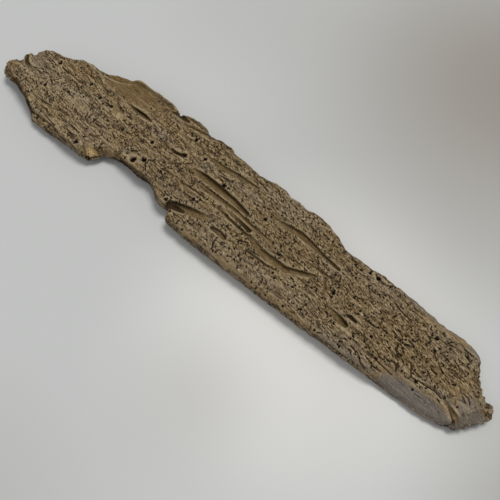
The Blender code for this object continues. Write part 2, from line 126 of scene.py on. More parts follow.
# Recesses of the near wall: where they start, are full, fade and end, how deep, and how much
# painted shade they get under the overhang. They lie only in walls that face the near side.
RECESSES = [((-288, -277, -246, -238), 3.2, 1.0), ((-140, -128, -84, -70), 1.2, 0.85)]
RECESS_FACING = (0.1, 0.5)
RECESS_BEND = 0.7

# Height of the upper face along the plank, and how much lower it is at the edges.
SPINE = [
    (-310, 19), (-290, 20), (-255, 20.8), (-200, 21.5), (-120, 22), (0, 22.5), (100, 21.5),
    (190, 19.5), (250, 18), (284, 16), (300, 12),
]
CROWN = 1.3

# Random swells: size of their table, and of each the height, length along the grain, width across
# it and seed.
SWELL_TABLE = 64
SWELL = (1.1, 64.0, 24.0, 5)
GRAIN_WAVE = (0.8, 42.0, 5.5, 6)
CRUMBS = [(0.4, 15.0, 2.1, 11), (0.3, 5.0, 1.6, 12)]
CRUMB_SLANT = 0.6
FIBRES = (0.22, 26.0, 1.1, 13)
FLAKES = (1.0, 80.0, 15.0, 14)
FLAKE_LAYERS = 2.4
FLAKE_STEP = 0.3
FLAKE_EDGE = (0.4, 0.2)
UNFLAKED_SPAN = (195, 235)
WALL_LAYERS = [(0.65, 22.0, 1.7, 21), (0.4, 4.0, 2.4, 22)]
END_SPLINTERS = (1.5, 2.4, 3.6, 23)
RIGHT_SPLINTER_SPAN = (262, 280)
LEFT_SPLINTER_SPAN = (284, 296)
RIM_CHIPS = (0.7, 4.5, 4.0, 24)
RIM_CHIP_TALLNESS = 0.3
# The relief that colours the wood is measured against the face averaged over this width: raised
# places are painted lighter and dips darker, partly bleaching and dirt, partly painted highlight
# and painted shade.
RELIEF_WIDTH = 2.2

# The smooth scoop along the far edge, and the lip that stands up behind it.
SCOOP_SPAN = (-214, -188, -124, -108)
SCOOP_DEPTH = 5.6
SCOOP_WIDTH = 30.0
LIP_SPAN = (-190, -174, -134, -114)
LIP_HEIGHT = 5.2
LIP_WIDTH = 4.4
LIP_CREST = 2.2
LIP_FOOT = 5.0
# The ledge that lies lower, left of the scoop, behind this ridge.
RIDGE = [(-234, 41), (-222, 36.5), (-206, 37.5), (-196, 40.5), (-187, 45), (-178, 50.5)]
RIDGE_HEIGHT = 0.9
RIDGE_WIDTH = 1.8
LEDGE_SPAN = (-234, -226, -190, -176)
LEDGE_DROP = 4.8
LEDGE_SLOPE_WIDTH = 3.2
LEDGE_LEFT_IN_SCOOP = 0.25

# The near edge at the left: the upper layer ends at this rim and a lower ledge sticks out.
UPPER_RIM = [(-252, -36), (-244, -39.5), (-236, -42.5), (-220, -42.5), (-205, -43), (-186, -46.5)]
NEAR_LEDGE_SPAN = (-254, -244, -200, -186)
NEAR_LEDGE_DROP = 4.0
NEAR_LEDGE_FURROW = 1.4
FURROW_PLACE = 1.6
FURROW_WIDTH = 1.1

# The broken flank at the left of the bite, which slopes down to the bite.
BITE_FLANK = [(-154, -46.5), (-148.5, -42), (-145, -38), (-143, -34), (-138, -31), (-128, -29.5)]
FLANK_DROP = 6.0
FLANK_WIDTH = 11.0
FLANK_HOLLOWING = 1.5

# The worn facet along the near edge at the right end.
FACET_SPAN = (194, 222)
FACET_START_Y = -33.0
FACET_SLOPE = 0.62
FACET_BEND = 2.0

# Where the wood is worn smooth: the spans over which it sets in, along the plank and then across
# it or in from an edge. The scoop's second span counts back along the plank.
SMOOTH_SCOOP = [(-216, -196), (128, 158), (26, 34)]
SMOOTH_FACET = [(196, 216), (31, 37)]
SMOOTH_FLANK_WIDTH = 8.8
SMOOTH_NEAR_RIM = [(-40, -10), (2.5, 7.0)]
SMOOTH_FAR_RIM = [(150, 215), (4.0, 13.0)]
SMOOTH_TIP = [(255, 275), (-18, -6)]
# How smooth: scoop, facet, broken flank, floors of the troughs, near rim, far rim, tip.
SMOOTHNESS = (0.75, 0.95, 0.6, 0.8, 0.7, 0.8, 0.7)

# Ship-worm grooves: points along the middle with half width and depth.
GROOVES = {
    "slot": [(-161, 25.5, 1.4, 1), (-151, 24.5, 2.6, 4), (-138, 24.3, 2.8, 4.2),
             (-128, 23.5, 1.8, 2)],
    "hook": [(-87, 12.2, 1.6, 2.5), (-82, 11.6, 1.5, 4), (-77, 12.6, 1.5, 4),
             (-72.3, 14.4, 2.3, 6)],
    "far long": [(-54, 29, 1.5, 1), (-30, 28.2, 3, 2.6), (-10, 29, 3, 2.4), (9, 30, 2, 1)],
    "main": [(-53, 7.5, 2, 1.5), (-40, 7.6, 3.6, 4), (-20, 6.2, 3.8, 4), (2, 4.4, 3.5, 3.6),
             (20, 1.6, 2.8, 3.6)],
    "second": [(-36, -1, 1.5, 1), (-15, -1.8, 2.6, 3), (8, -2.2, 2.6, 3), (32, -5.5, 2.2, 2.6),
               (61, -7.5, 1.6, 1)],
    "end pocket": [(6, -7, 1.4, 1), (20, -8.6, 1.8, 2.4), (34, -10.4, 2.2, 4.4)],
    "narrow": [(-5, -10.8, 0.9, 1), (12, -13.2, 1.3, 2.2), (32, -15.2, 1.4, 2.4),
               (46, -15.5, 1.1, 1.2)],
    "broad": [(38, -15.5, 2, 1), (58, -21, 3.6, 2.6), (76, -21, 3.8, 3.2), (86, -20.5, 3.2, 3.2),
              (97, -15, 2.6, 3.2), (111, -8.2, 1.6, 2.6)],
    "near lines": [(46, -28.4, 1.4, 2), (70, -28.8, 1.2, 1.8), (82, -26.3, 1.1, 1.2)],
    "upper right": [(42, 14, 1.5, 0.8), (60, 16, 3, 2.6), (75, 17.8, 3.2, 3), (92, 15.6, 2.6, 3),
                    (104, 13.8, 1.8, 3.4), (124, 11.2, 1.4, 3.6)],
    "thin": [(95, -1.5, 1, 1), (115, -0.5, 1.1, 1.8), (131, 0.4, 0.9, 1.2)],
    "thin curve": [(120.8, -2, 1, 1.2), (121.8, -7, 1.2, 1.8), (126, -12, 1, 1.4)],
    "right slot": [(140, -26, 2.2, 1.5), (151, -27, 3.2, 3), (160, -28.5, 2.6, 5)],
    "step": [(156, -21, 1.2, 2), (160, -19.6, 1.8, 4.2), (166, -20.2, 1.3, 4.2)],
    "near pocket": [(6, -31.6, 2, 3.2), (14, -30.6, 2.4, 2.8), (21, -32, 2.2, 3.6)],
    "notch hollow": [(-45, -38, 3, 6), (-37, -36.5, 3.4, 6.5), (-29, -35.5, 2.2, 3.6)],
    "notch trough": [(-44, -37, 4, 4), (-30, -33, 4.4, 3.4), (-12, -28.5, 4.0, 2.2),
                     (3, -25, 2.6, 0.6)],
    "far pocket": [(-118, 51, 2, 2.5), (-108, 49.5, 2.8, 4.4), (-98, 48.5, 2, 2.6)],
    "far crease": [(-106, 52, 1.3, 1.6), (-92, 52.5, 1.4, 2), (-79, 52, 1.2, 1.2)],
    "far line": [(-98, 43.5, 1.2, 1.4), (-75, 47, 1.5, 2), (-53, 50, 1.2, 1.4)],
    "left crease": [(-302, 8, 2.2, 4), (-296, 1.5, 2.2, 4), (-290, -3.5, 1.9, 3),
                    (-279, -6, 1.4, 1)],
    "end crease": [(266, -29, 1.5, 1.2), (276, -32.5, 2, 2.4), (284, -34.5, 1.6, 1.4)],
    "crack": [(-232, -36, 0.9, 1.2), (-224, -34.6, 1.1, 2), (-215, -38.5, 1, 1.4)],
}
# Grooves whose floor gets as much painted shade as their walls.
DARK_GROOVES = ("hook", "end pocket", "narrow", "near lines", "thin", "thin curve", "step",
                "notch hollow", "far pocket", "left crease", "crack")
# Narrow galleries that stand out: points along the middle.
GALLERIES = [
    [(218, 13), (223, 11), (228, 8)], [(226, -21), (229, -26), (232, -30), (238, -30)],
    [(225, -20), (230, -24), (239, -25)], [(207, -17), (214, -23)], [(243, -4), (251, -10)],
    [(233, 5), (237, 0), (241, -3)], [(216, -28), (219, -34)],
    [(187, -44), (191, -48), (197, -49)], [(193, -41), (201, -43.5), (209, -42)],
    [(190, -36), (205, -37.5), (218, -38)], [(196, -30), (201, -33), (205, -33)],
    [(211, -29), (219, -30)], [(183, 17), (190, 14.5), (197, 13.5), (205, 12)],
    [(241, 18), (243.5, 20.5)], [(254, 21), (264, 20.5)], [(259, 19), (264, 14)],
    [(240, 5), (249, 3.5)], [(274, -13), (280, -14), (284, -18)], [(275, -16), (280, -19)],
    [(238, -29), (255, -27.5), (262, -29)], [(170, -31), (175, -27)], [(146, -50), (150, -48)],
    [(272, -31), (278, -36), (290, -38)], [(176, -41), (186, -43)], [(174, -35), (182, -36.5)],
    [(173, -13), (184, -12.5)], [(200, -2), (206, -5)], [(212, -9), (219, -7)],
    [(196, -6), (203, -8)], [(-75, -1), (-66, 6), (-59, 12.5)],
    [(-96, -12), (-93, -10), (-90, -10)], [(-96, -12), (-95.5, -18), (-90, -23)],
    [(-83.5, 19.5), (-86, 16)], [(-80, -12), (-76, -9)], [(-174, -8), (-175, -18)],
    [(-181, -8), (-181, -14)], [(-183, 4), (-180, 1)], [(-171, -14), (-162, -14)],
    [(-150, -11), (-143, -14)], [(-186, -10), (-184, -16), (-178, -18)],
    [(-248, 16), (-235, 15), (-223, 13)], [(-143, -40), (-137, -44)], [(-200, 10), (-192, 12)],
    [(-182, 12), (-172, 12)], [(-230, -4), (-214, -5)], [(-250, -3), (-244, -8)],
    [(-262, -15), (-254, -20)], [(-278, -3), (-270, 1)], [(-53, -12), (-44, -10), (-22, -10)],
    [(32.8, -24.7), (41.8, -21), (43.3, -24.5)], [(15.5, -36), (16, -42), (18.5, -45)],
    [(-28, 19), (-12, 20)], [(65, -13.5), (74, -12)], [(8, 38), (20, 35)], [(-3, 31), (12, 32)],
]
GALLERY_HALF_WIDTH = 0.75
GALLERY_DEPTH = 1.5
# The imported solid's tracks stay at the same places, but as narrow as they are in real wood.
TRACK_NARROWING = 0.5
TRACK_SHALLOWING = 0.7
# How strongly the tracks and galleries are painted dark, as painted shade in them.
TRACK_SHADE = 0.4
GALLERY_SHADE = 0.8
# Walls and marks of tracks, galleries and troughs: the pressed, wall and dark marks are painted
# shade, and the floor mark is the golden floor. Every mark has the place of its edge and its soft
# width, both in half widths of the groove.
PRESSED_WALL = 0.8
PRESSED_SHADE = (1.1, 0.5)
FAR_WALL_SHARE = 0.3
TROUGH_WIDENING = 1.25
TROUGH_REACH = 1.3
TROUGH_TILT = 1.8
TROUGH_BEND = 0.7
TROUGH_WALL_SHADE = (1.12, 0.25)
TROUGH_SHADED_SIDE = (0.0, 0.85)
TROUGH_DARK_SHADE = (1.05, 0.4)
TROUGH_FLOOR_MARK = (1.0, 0.35)
# Depths at which the painted shade on a trough's walls is darkest and its floor is fully golden.
DARKEST_SHADE_DEPTH = 4.5
FLOOR_DEPTH = 2.0

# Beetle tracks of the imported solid, scattered over the face, most of them along the grain.
TRACK_SEED = 41
TRACK_COUNT = 90
TRACK_HALF_WIDTH = (1.0, 1.5)
TRACK_DEPTH = (1.2, 2.0)
TRACK_START = (0.7, 0.5)
TRACK_STEP = 3.2
TRACK_STEPS = (2, 6)
TRACK_TURN = 0.28
TRACK_CLEARANCE = 5.0
TRACK_ZONE = (-290.0, 275.0)
TRACK_MARGIN = 7.0
TRACK_HEADING = (-0.25, 0.35)
# Ground without beetle tracks: the scoop between two places and beyond a line, and the worn facet.
SCOOP_GROUND = (-220.0, -118.0, 28.0)
FACET_GROUND = (192.0, -30.0)
# This share of the fine tracks is left out there, and beyond a place along the plank and across it.
CALM_GROUND = (185.0, 4.0)
CALM_SHARE = 0.85

# Finer tracks: count, where they lie along the plank, middle heading and its spread, number of
# steps, bend and its spread.
FINE_SEED = 77
FINE_STEP = 1.3
FINE_MARGIN = 1.5
FINE_HALF_WIDTH = (0.65, 0.95)
FINE_DEPTH = (0.7, 1.4)
FINE_STRENGTH = (0.25, 1.0)
# Share of the width and depth at a track's start and of the width at its end.
FINE_START = (0.6, 0.4)
FINE_END = 0.7
FINE_ON_SMOOTH = 0.25
FINE_TRACKS = [
    (90, (150, 284), -0.5, 0.32, (1, 4), 0.0, 0.08),
    (60, (-40, 150), -0.6, 0.6, (1, 4), 0.0, 0.12),
    (30, (-302, -100), -0.15, 0.12, (5, 16), 0.0, 0.03),
    (30, (-120, 284), -0.12, 0.15, (3, 8), 0.0, 0.05),
    (8, (-302, 150), -0.5, 0.9, (6, 13), 0.12, 0.1),
]
UNDER_SEED = 78
UNDER_TRACKS = [
    (130, (-302, 290), 0.0, 0.25, (4, 12), 0.0, 0.12),
    (36, (-302, 290), 0.3, 1.2, (5, 12), 0.1, 0.15),
]

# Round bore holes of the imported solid: place, radius and depth.
HOLES = [
    (-261, 19.5, 2.4, 5), (-213, 19.5, 1.9, 3.5), (-250, -12, 1.9, 3.5), (-191, 12, 2, 3),
    (-174, 12, 2, 3), (-109, -21.5, 3.1, 6.5), (-101, -15, 2.8, 6), (-109, 5.5, 1.9, 4),
    (-53, 25, 2.2, 4), (-76, 37, 1.9, 4), (-30, -18, 1.8, 2.4), (-169, -43.8, 2.1, 3.5),
    (-17.5, 12.5, 2.1, 4), (-51, -35.5, 2, 3.6), (38, 9, 1.7, 2.4), (134, -10, 1.8, 2.6),
    (157, 28.5, 2.1, 4), (230, 14, 1.7, 2),
]
HOLE_RAGGEDNESS = (0.3, 1.7, 1.4, 41)
HOLE_FLOOR = 0.65
HOLE_RIM = 1.25
HOLE_REACH = 1.3
HOLE_MARK = (1.2, 0.5)
# Smaller holes that stand out: place and radius.
SMALL_HOLES = [
    (-260, 15.5, 1.2), (-260, 10.5, 1), (-248, 30.5, 1.4), (-234, 35, 1.2), (-242, -1, 1.2),
    (-230, 2, 1.2), (-216, -1.5, 1.3), (-288, -9, 1.3), (-154, 1, 1.5), (-148, -28, 1.2),
    (-151, -46, 1.7), (-122, -16, 1.3), (-119, -20, 1.4), (-103, 3.5, 1.3), (-121, 6.5, 1.3),
    (-126, 2.5, 1.2), (-33, 33.5, 1.3), (28.5, -22.5, 1.2), (23.5, -24, 1.1), (15, -20.5, 1.4),
    (66.5, 31.5, 1.5), (76, -1, 1.4), (83.5, -33.5, 1.7), (102, -30, 1.3), (103, -27, 1.2),
    (121, -29.5, 1.1), (121, -42, 1.4), (107, -50, 1.3), (76.5, -51, 1.1), (87.5, -51, 1.1),
    (70, -50, 1.2), (135, -14, 1.5), (140, 25, 1.6), (148, 28, 1.7), (170, 28.5, 1.5),
    (165.5, 5, 1.2), (163, -9, 1.2), (169, -10, 1.3), (163.5, -12.5, 1.3), (184, -22.5, 1.2),
    (172, -32, 1.4), (187, -33.5, 1.2), (166, -43.5, 1.2), (142.5, -50, 1.2), (235, 3.5, 1.4),
    (193, -10.5, 1.4), (223, -30.5, 1.1), (237.5, -30.5, 1.4), (239, -37, 1.1), (32, -36.5, 1.3),
    (57, -37, 1.1), (50.5, -47, 1.2), (22, -49, 1), (-16.5, -49.5, 1.3), (-227, -46, 1.6),
    (-218, -45, 1.6), (-209, -46, 1.2),
]
SMALL_HOLE_SHARE = 0.8
SMALL_HOLE_DEPTH = 2.6
# Seeded clusters of pin holes. Depths are in radii.
HOLE_SEED = 31
HOLE_CLUSTERS = 90
HOLES_IN_CLUSTER = (2, 7)
HOLE_SPREAD = (6.0, 3.6)
PIN_ZONE = (-290.0, 280.0)
PIN_MARGIN = 4.0
PIN_RADIUS = (0.45, 0.85)
PIN_DEPTH = 2.4

# The underside lies a little clear of the ground and touches it on four worn flats.
BELLY = 2.4
BELLY_WAVE = (0.5, 37.0, 21.0)
BELLY_SLOPE = 0.07
GROUND_CLEARANCE = 0.03
UNDER_SEED_STEP = 20
UNDER_SWELL = (0.9, 60.0, 4.5, 35)
UNDER_GOLD = (0.5, 70.0, 22.0, 36)
UNDER_GREY = (0.35, 0.4)
FLATS = [(-222, -16, 17), (-150, 30, 14), (206, -22, 21), (196, 14, 12)]
# The left end is bent upwards: where the underside starts to rise, where it ends and how much.
LIFT_SPAN = (-262, -312)
LIFT = 4.5

# Patches of another tone on the upper face: place, half length, half width and strength.
GOLD_PATCHES = [
    (-175, 43, 42, 13, 1.0), (-120, 36, 24, 12, 0.5), (-143, -40, 9, 9, 1.0),
    (-70, 45, 40, 7, 0.6), (-20, -30, 24, 5, 0.6), (0, 42, 18, 6, 0.7), (208, -12, 34, 14, 0.8),
    (165, -12, 20, 9, 0.4), (95, 5, 18, 7, 0.6), (45, -14, 30, 7, 0.5), (-10, 3, 40, 7, 0.5),
    (-250, -18, 14, 6, 0.5), (-221, -18, 8, 5, 0.6), (-232, 25, 20, 9, 0.9), (75, 17, 24, 4, 0.6),
    (250, -19, 14, 4, 0.5),
]
GREY_PATCHES = [
    (252, -48, 46, 15, 1.0), (285, -22, 12, 14, 0.8), (262, -28, 14, 5, 0.7), (-45, 18, 9, 7, 0.5),
    (0, 20, 26, 6, 0.7), (-108, 19, 14, 6, 0.8), (52, 24, 14, 4, 0.7), (165, 24, 22, 8, 0.7),
    (-275, 8, 22, 14, 0.5), (100, -42, 60, 9, 0.4), (170, -46, 40, 7, 0.8),
    (-170, -25, 30, 16, 0.4), (118, 6, 10, 5, 0.4), (-118, -18, 8, 6, 0.7), (155, -21, 8, 3, 0.8),
    (240, 15, 26, 10, 0.5), (215, 32, 50, 6.5, 0.7), (268, 21, 18, 9, 0.7),
]
PALE_PATCHES = [
    (-252, -8, 45, 20, 0.95), (-195, -5, 30, 15, 0.9), (40, -42, 60, 9, 1.0),
    (50, 36, 42, 10, 1.0), (-152, 57, 26, 3, 1.0), (110, -32, 25, 10, 0.7),
    (285, -22, 14, 14, 0.4), (-20, -45, 24, 6, 0.6), (-20, -30, 26, 8, 1.0), (-45, 18, 12, 8, 0.9),
    (172, -38, 18, 8, 0.5), (255, 14, 16, 9, 0.4),
]
# Wood broken not long ago, painted brighter than its own tone as a painted highlight, and painted
# shade along the near edge.
FRESH_AND_HIGHLIGHT_PATCHES = [(-146, -43, 7, 5, 1.0), (-138, -37, 6, 3.5, 0.8), (-152, -41, 4, 3, 0.7)]
PAINTED_SHADE_PATCHES = [
    (-281, -29.5, 8, 3.5, 0.9), (-271, -32.5, 8, 3.5, 0.9), (-260, -37, 8, 3.5, 0.9),
    (-251, -40.5, 8, 3.5, 0.8), (-243, -44.5, 7, 3, 0.7), (-108, -30, 22, 2.4, 0.7),
]
TONE_PATCHES = {"gold": GOLD_PATCHES, "grey": GREY_PATCHES, "pale": PALE_PATCHES,
                "fresh_and_highlight": FRESH_AND_HIGHLIGHT_PATCHES}
# Where a patch starts to fade and where it ends, in half lengths.
PATCH_EDGE = (0.55, 1.35)

# What is stored at every point. The first four are the colour attribute of tones and painted shade,
# the next four the colour attribute of wear and painted light, and the last one is "floor".
MARKS = ("hollow", "gold", "grey", "black", "relief", "worn", "fresh_and_highlight", "pale", "trough")

# Tones of the wood, some of them also laid on as painted shade and painted highlights.
# Fresh broken wood, painted far brighter than its own tone: partly its colour, partly a painted
# highlight.
FRESH_WOOD_AND_HIGHLIGHT = (0.95, 0.66, 0.30, 1.0)
PALE_WOOD = (0.387, 0.299, 0.189, 1.0)
# Black of holes and pin holes: painted shade inside them.
HOLE_SHADE_BLACK = (0.006, 0.004, 0.003, 1.0)
# Dark brown of cracks and dark specks, also used for painted shade in hollows, recesses and on
# walls.
DARK_BROWN_AND_SHADE = (0.046, 0.025, 0.007, 1.0)
WOOD_DARK = (0.153, 0.089, 0.033, 1.0)
WOOD_MID = (0.230, 0.144, 0.058, 1.0)
WOOD_LIGHT = (0.332, 0.220, 0.095, 1.0)
WOOD_GOLD = (0.202, 0.113, 0.032, 1.0)
WOOD_GREY = (0.232, 0.179, 0.136, 1.0)
WORN_TAN = (0.140, 0.083, 0.024, 1.0)
WORN_GREY = (0.180, 0.166, 0.152, 1.0)
TROUGH_GOLD = (0.152, 0.100, 0.034, 1.0)
CLOUD_BROWN = (0.144, 0.086, 0.034, 1.0)
# Bleached fibres and specks, also used for painted highlights on raised places and crumbs.
BLEACH_AND_HIGHLIGHT = (0.645, 0.504, 0.300, 1.0)

# Noises of the finish: length and width of a swell, turn in plan, detail, roughness, distortion.
NOISES = {
    "blotch": (38.0, 15.0, 0.0, 4.0, 0.65, 0.0),
    "grain": (34.0, 3.4, -0.08, 4.0, 0.65, 0.4),
    "cloud": (13.0, 6.0, -0.2, 3.0, 0.6, 0.3),
    "fibre": (15.0, 1.25, -0.12, 2.0, 0.6, 0.1),
    "crumb": (3.6, 1.3, -0.3, 2.0, 0.6, 0.2),
    "streak": (12.0, 1.3, -0.16, 1.0, 0.5, 0.0),
    "fleck": (2.7, 0.95, -0.35, 1.0, 0.5, 0.0),
    "broken": (14.0, 4.0, -0.2, 0.0, 0.5, 0.0),
    "swarm": (16.0, 10.0, 0.0, 1.0, 0.5, 0.0),
}
# How far crumbs still show on smooth wood, and how patches are broken up into blotches.
CRUMBLY_LEAST = 0.16
PATCH_BLOTCHES = 1.3
PATCH_LEAST = 0.3
# From where to where along the plank the crumbs turn into long streaks, in metres, and how much.
STREAKED_SPAN = (-0.08, -0.16, 0.85)
# Cracks: length and width of the swells they wind between, turn, half width and strength. They
# are broken up, and the second, finer kind is rare except at the left.
CRACKS = [(36.0, 6.5, -0.2, 0.030, 0.45), (30.0, 2.8, -0.12, 0.075, 0.8)]
CRACK_CORE = 0.4
BROKEN_SPAN = (0.50, 0.58)
CRACKS_LEFT = 0.7
CRACKS_LEAST = 0.3
# Pin holes and short strokes of the shader: length and width of their cells, turn, share of the
# cell that is dark, and the share of cells without one, away from the swarms and inside them.
# The pin holes are painted black, as painted shade inside them.
BORED = [
    (2.5, 2.2, -0.3, 0.44, 0.93, 0.50), (4.5, 3.9, -0.3, 0.31, 0.91, 0.55),
    (6.8, 2.0, -0.55, 0.36, 0.94, 0.76),
]
SWARM_SPAN = (0.50, 0.64)
# From where to where along the plank they become more frequent, in metres, and by how much.
BORED_SPAN = (-0.16, 0.0, 0.07)
PIN_CORE = 0.72
PIN_ROUGHNESS = (0.35, 0.7)
# Height of the finest relief in metres, and how much crumbs, fibres, cracks and pins give to it.
BUMP_HEIGHT = 0.0013
CRUMB_BUMP = 2.2
FIBRE_BUMP = 0.9
SUNK_BUMP = 0.8
WOOD_ROUGHNESS = 0.88
WOOD_SHINE = 0.25

# The view: height above the floor and turn to the side, both in degrees, then the lens.
VIEW_ELEVATION = 62.0
VIEW_AZIMUTH = 40.0
VIEW_DISTANCE = 0.660
VIEW_TARGET = (0.04875, -0.0256, 0.012)
LENS = 50.0
SENSOR = 36.0

FLOOR_SIZE = 6.0
FLOOR_PAINTED_LIGHT = (0.90, 0.895, 0.87, 1.0)
FLOOR_EDGE = (0.675, 0.685, 0.68, 1.0)
FLOOR_ROUGHNESS = 0.7
FLOOR_SHINE = 0.2
FLOOR_PAINTED_SHADE = (0.39, 0.36, 0.32, 1.0)
# Painted pool of light on the floor: palest here, and no paler than its edge beyond the distance.
PAINTED_LIGHT_PLACE = (0.14, -0.05)
PAINTED_LIGHT_REACH = (0.04, 0.22)
# Painted shade on the floor: the middle of each place, how far it reaches and how dark it is
# painted.
PAINTED_SHADE_PLACES = [((0.15, 0.33), 0.36, 1.0), ((0.44, -0.06), 0.20, 0.8), ((0.0, -0.42), 0.22, 0.4),
              ((0.10, -0.16), 0.10, 0.22), ((0.20, -0.09), 0.10, 0.08), ((0.22, 0.13), 0.12, 0.10),
              ((-0.17, 0.24), 0.16, 0.16)]
WORLD_COLOUR = (0.95, 0.97, 1.0, 1.0)
WORLD_STRENGTH = 0.30
# Soft distant lights: direction each comes from, spread in degrees, strength and colour.
SUNS = [
    ((0.10, 0.32, 1.0), 26.0, 1.46, (1.0, 0.985, 0.95)),
    ((-0.45, -0.85, 1.0), 70.0, 0.26, (0.97, 0.985, 1.0)),
]


def ease(value):
    """A smooth step from 0 to 1 as the value goes from 0 to 1."""
    value = np.clip(value, 0.0, 1.0)
    return value * value * (3.0 - 2.0 * value)


def between(value, start, end):
    """A smooth step that rises from 0 at start to 1 at end."""
    return ease((value - start) / (end - start))


def inside(gap, edge, soft):
    """A smooth step from 0 at the edge to 1 further in, over a soft width."""
    return ease((edge - gap) / soft)


def stretch(x, starts, full, fades, ends):
    """A smooth rise from 0 to 1 and back to 0 along the plank."""
    return between(x, starts, full) * (1.0 - between(x, fades, ends))


def blended(values, i, j, i2, j2, part_x, part_y):
    """A value between four neighbours of a grid."""
    low = values[i, j] + part_x * (values[i2, j] - values[i, j])
    high = values[i, j2] + part_x * (values[i2, j2] - values[i, j2])
    return low + part_y * (high - low)


def swells(x, y, height, length, width, seed):
    """Smooth random rises and dips that repeat nowhere near by."""
    size = SWELL_TABLE
    table = np.random.default_rng(seed).uniform(-height, height, (size, size))
    across, up = x / length + size / 2, y / width + size / 2
    i, j = np.floor(across).astype(int), np.floor(up).astype(int)
    part_x, part_y = ease(across - i), ease(up - j)
    return blended(table, i % size, j % size, (i + 1) % size, (j + 1) % size, part_x, part_y)


def columns(points):
    return np.array(points, dtype=float).T


def resample(points, fractions):
    """Points on a polyline at the given fractions of its length."""
    line = columns(points)
    steps = np.hypot(*np.diff(line, axis=1))
    length = np.concatenate(([0.0], np.cumsum(steps)))
    return np.stack([np.interp(fractions * length[-1], length, row) for row in line], axis=1)


def blurred(loop, width):
    """A closed loop of points, each averaged with its neighbours."""
    reach = int(3 * width) + 1
    weights = np.exp(-0.5 * (np.arange(-reach, reach + 1) / width) ** 2)
    weights = weights / weights.sum()
    padded = np.concatenate((loop[-reach:], loop, loop[:reach]))
    return np.stack([np.convolve(row, weights, mode="valid") for row in padded.T], axis=1)


def near_y(x):
    return np.interp(x, *columns(NEAR_EDGE))


def far_y(x):
    return np.interp(x, *columns(FAR_EDGE))


def beside(x, y, start, end):
    """For each place: its share of the way along a straight piece, its distance, and its side."""
    x, y = x - start[0], y - start[1]
    dx, dy = end[0] - start[0], end[1] - start[1]
    along = np.clip((x * dx + y * dy) / (dx * dx + dy * dy), 0.0, 1.0)
    side = (dx * y - dy * x) / math.hypot(dx, dy)
    return along, np.hypot(x - along * dx, y - along * dy), side


def line_gap(x, y, path):
    """Distance from each place to a polyline."""
    return np.minimum.reduce([beside(x, y, start, end)[1] for start, end in zip(path, path[1:])])


def patches(x, y, spots):
    """Soft oval patches, 0 outside and up to 1 inside."""
    tone_and_shade = np.zeros_like(x)
    for spot_x, spot_y, long, wide, strength in spots:
        gap = np.hypot((x - spot_x) / long, (y - spot_y) / wide)
        tone_and_shade = np.maximum(tone_and_shade, strength * (1.0 - between(gap, *PATCH_EDGE)))
    return tone_and_shade


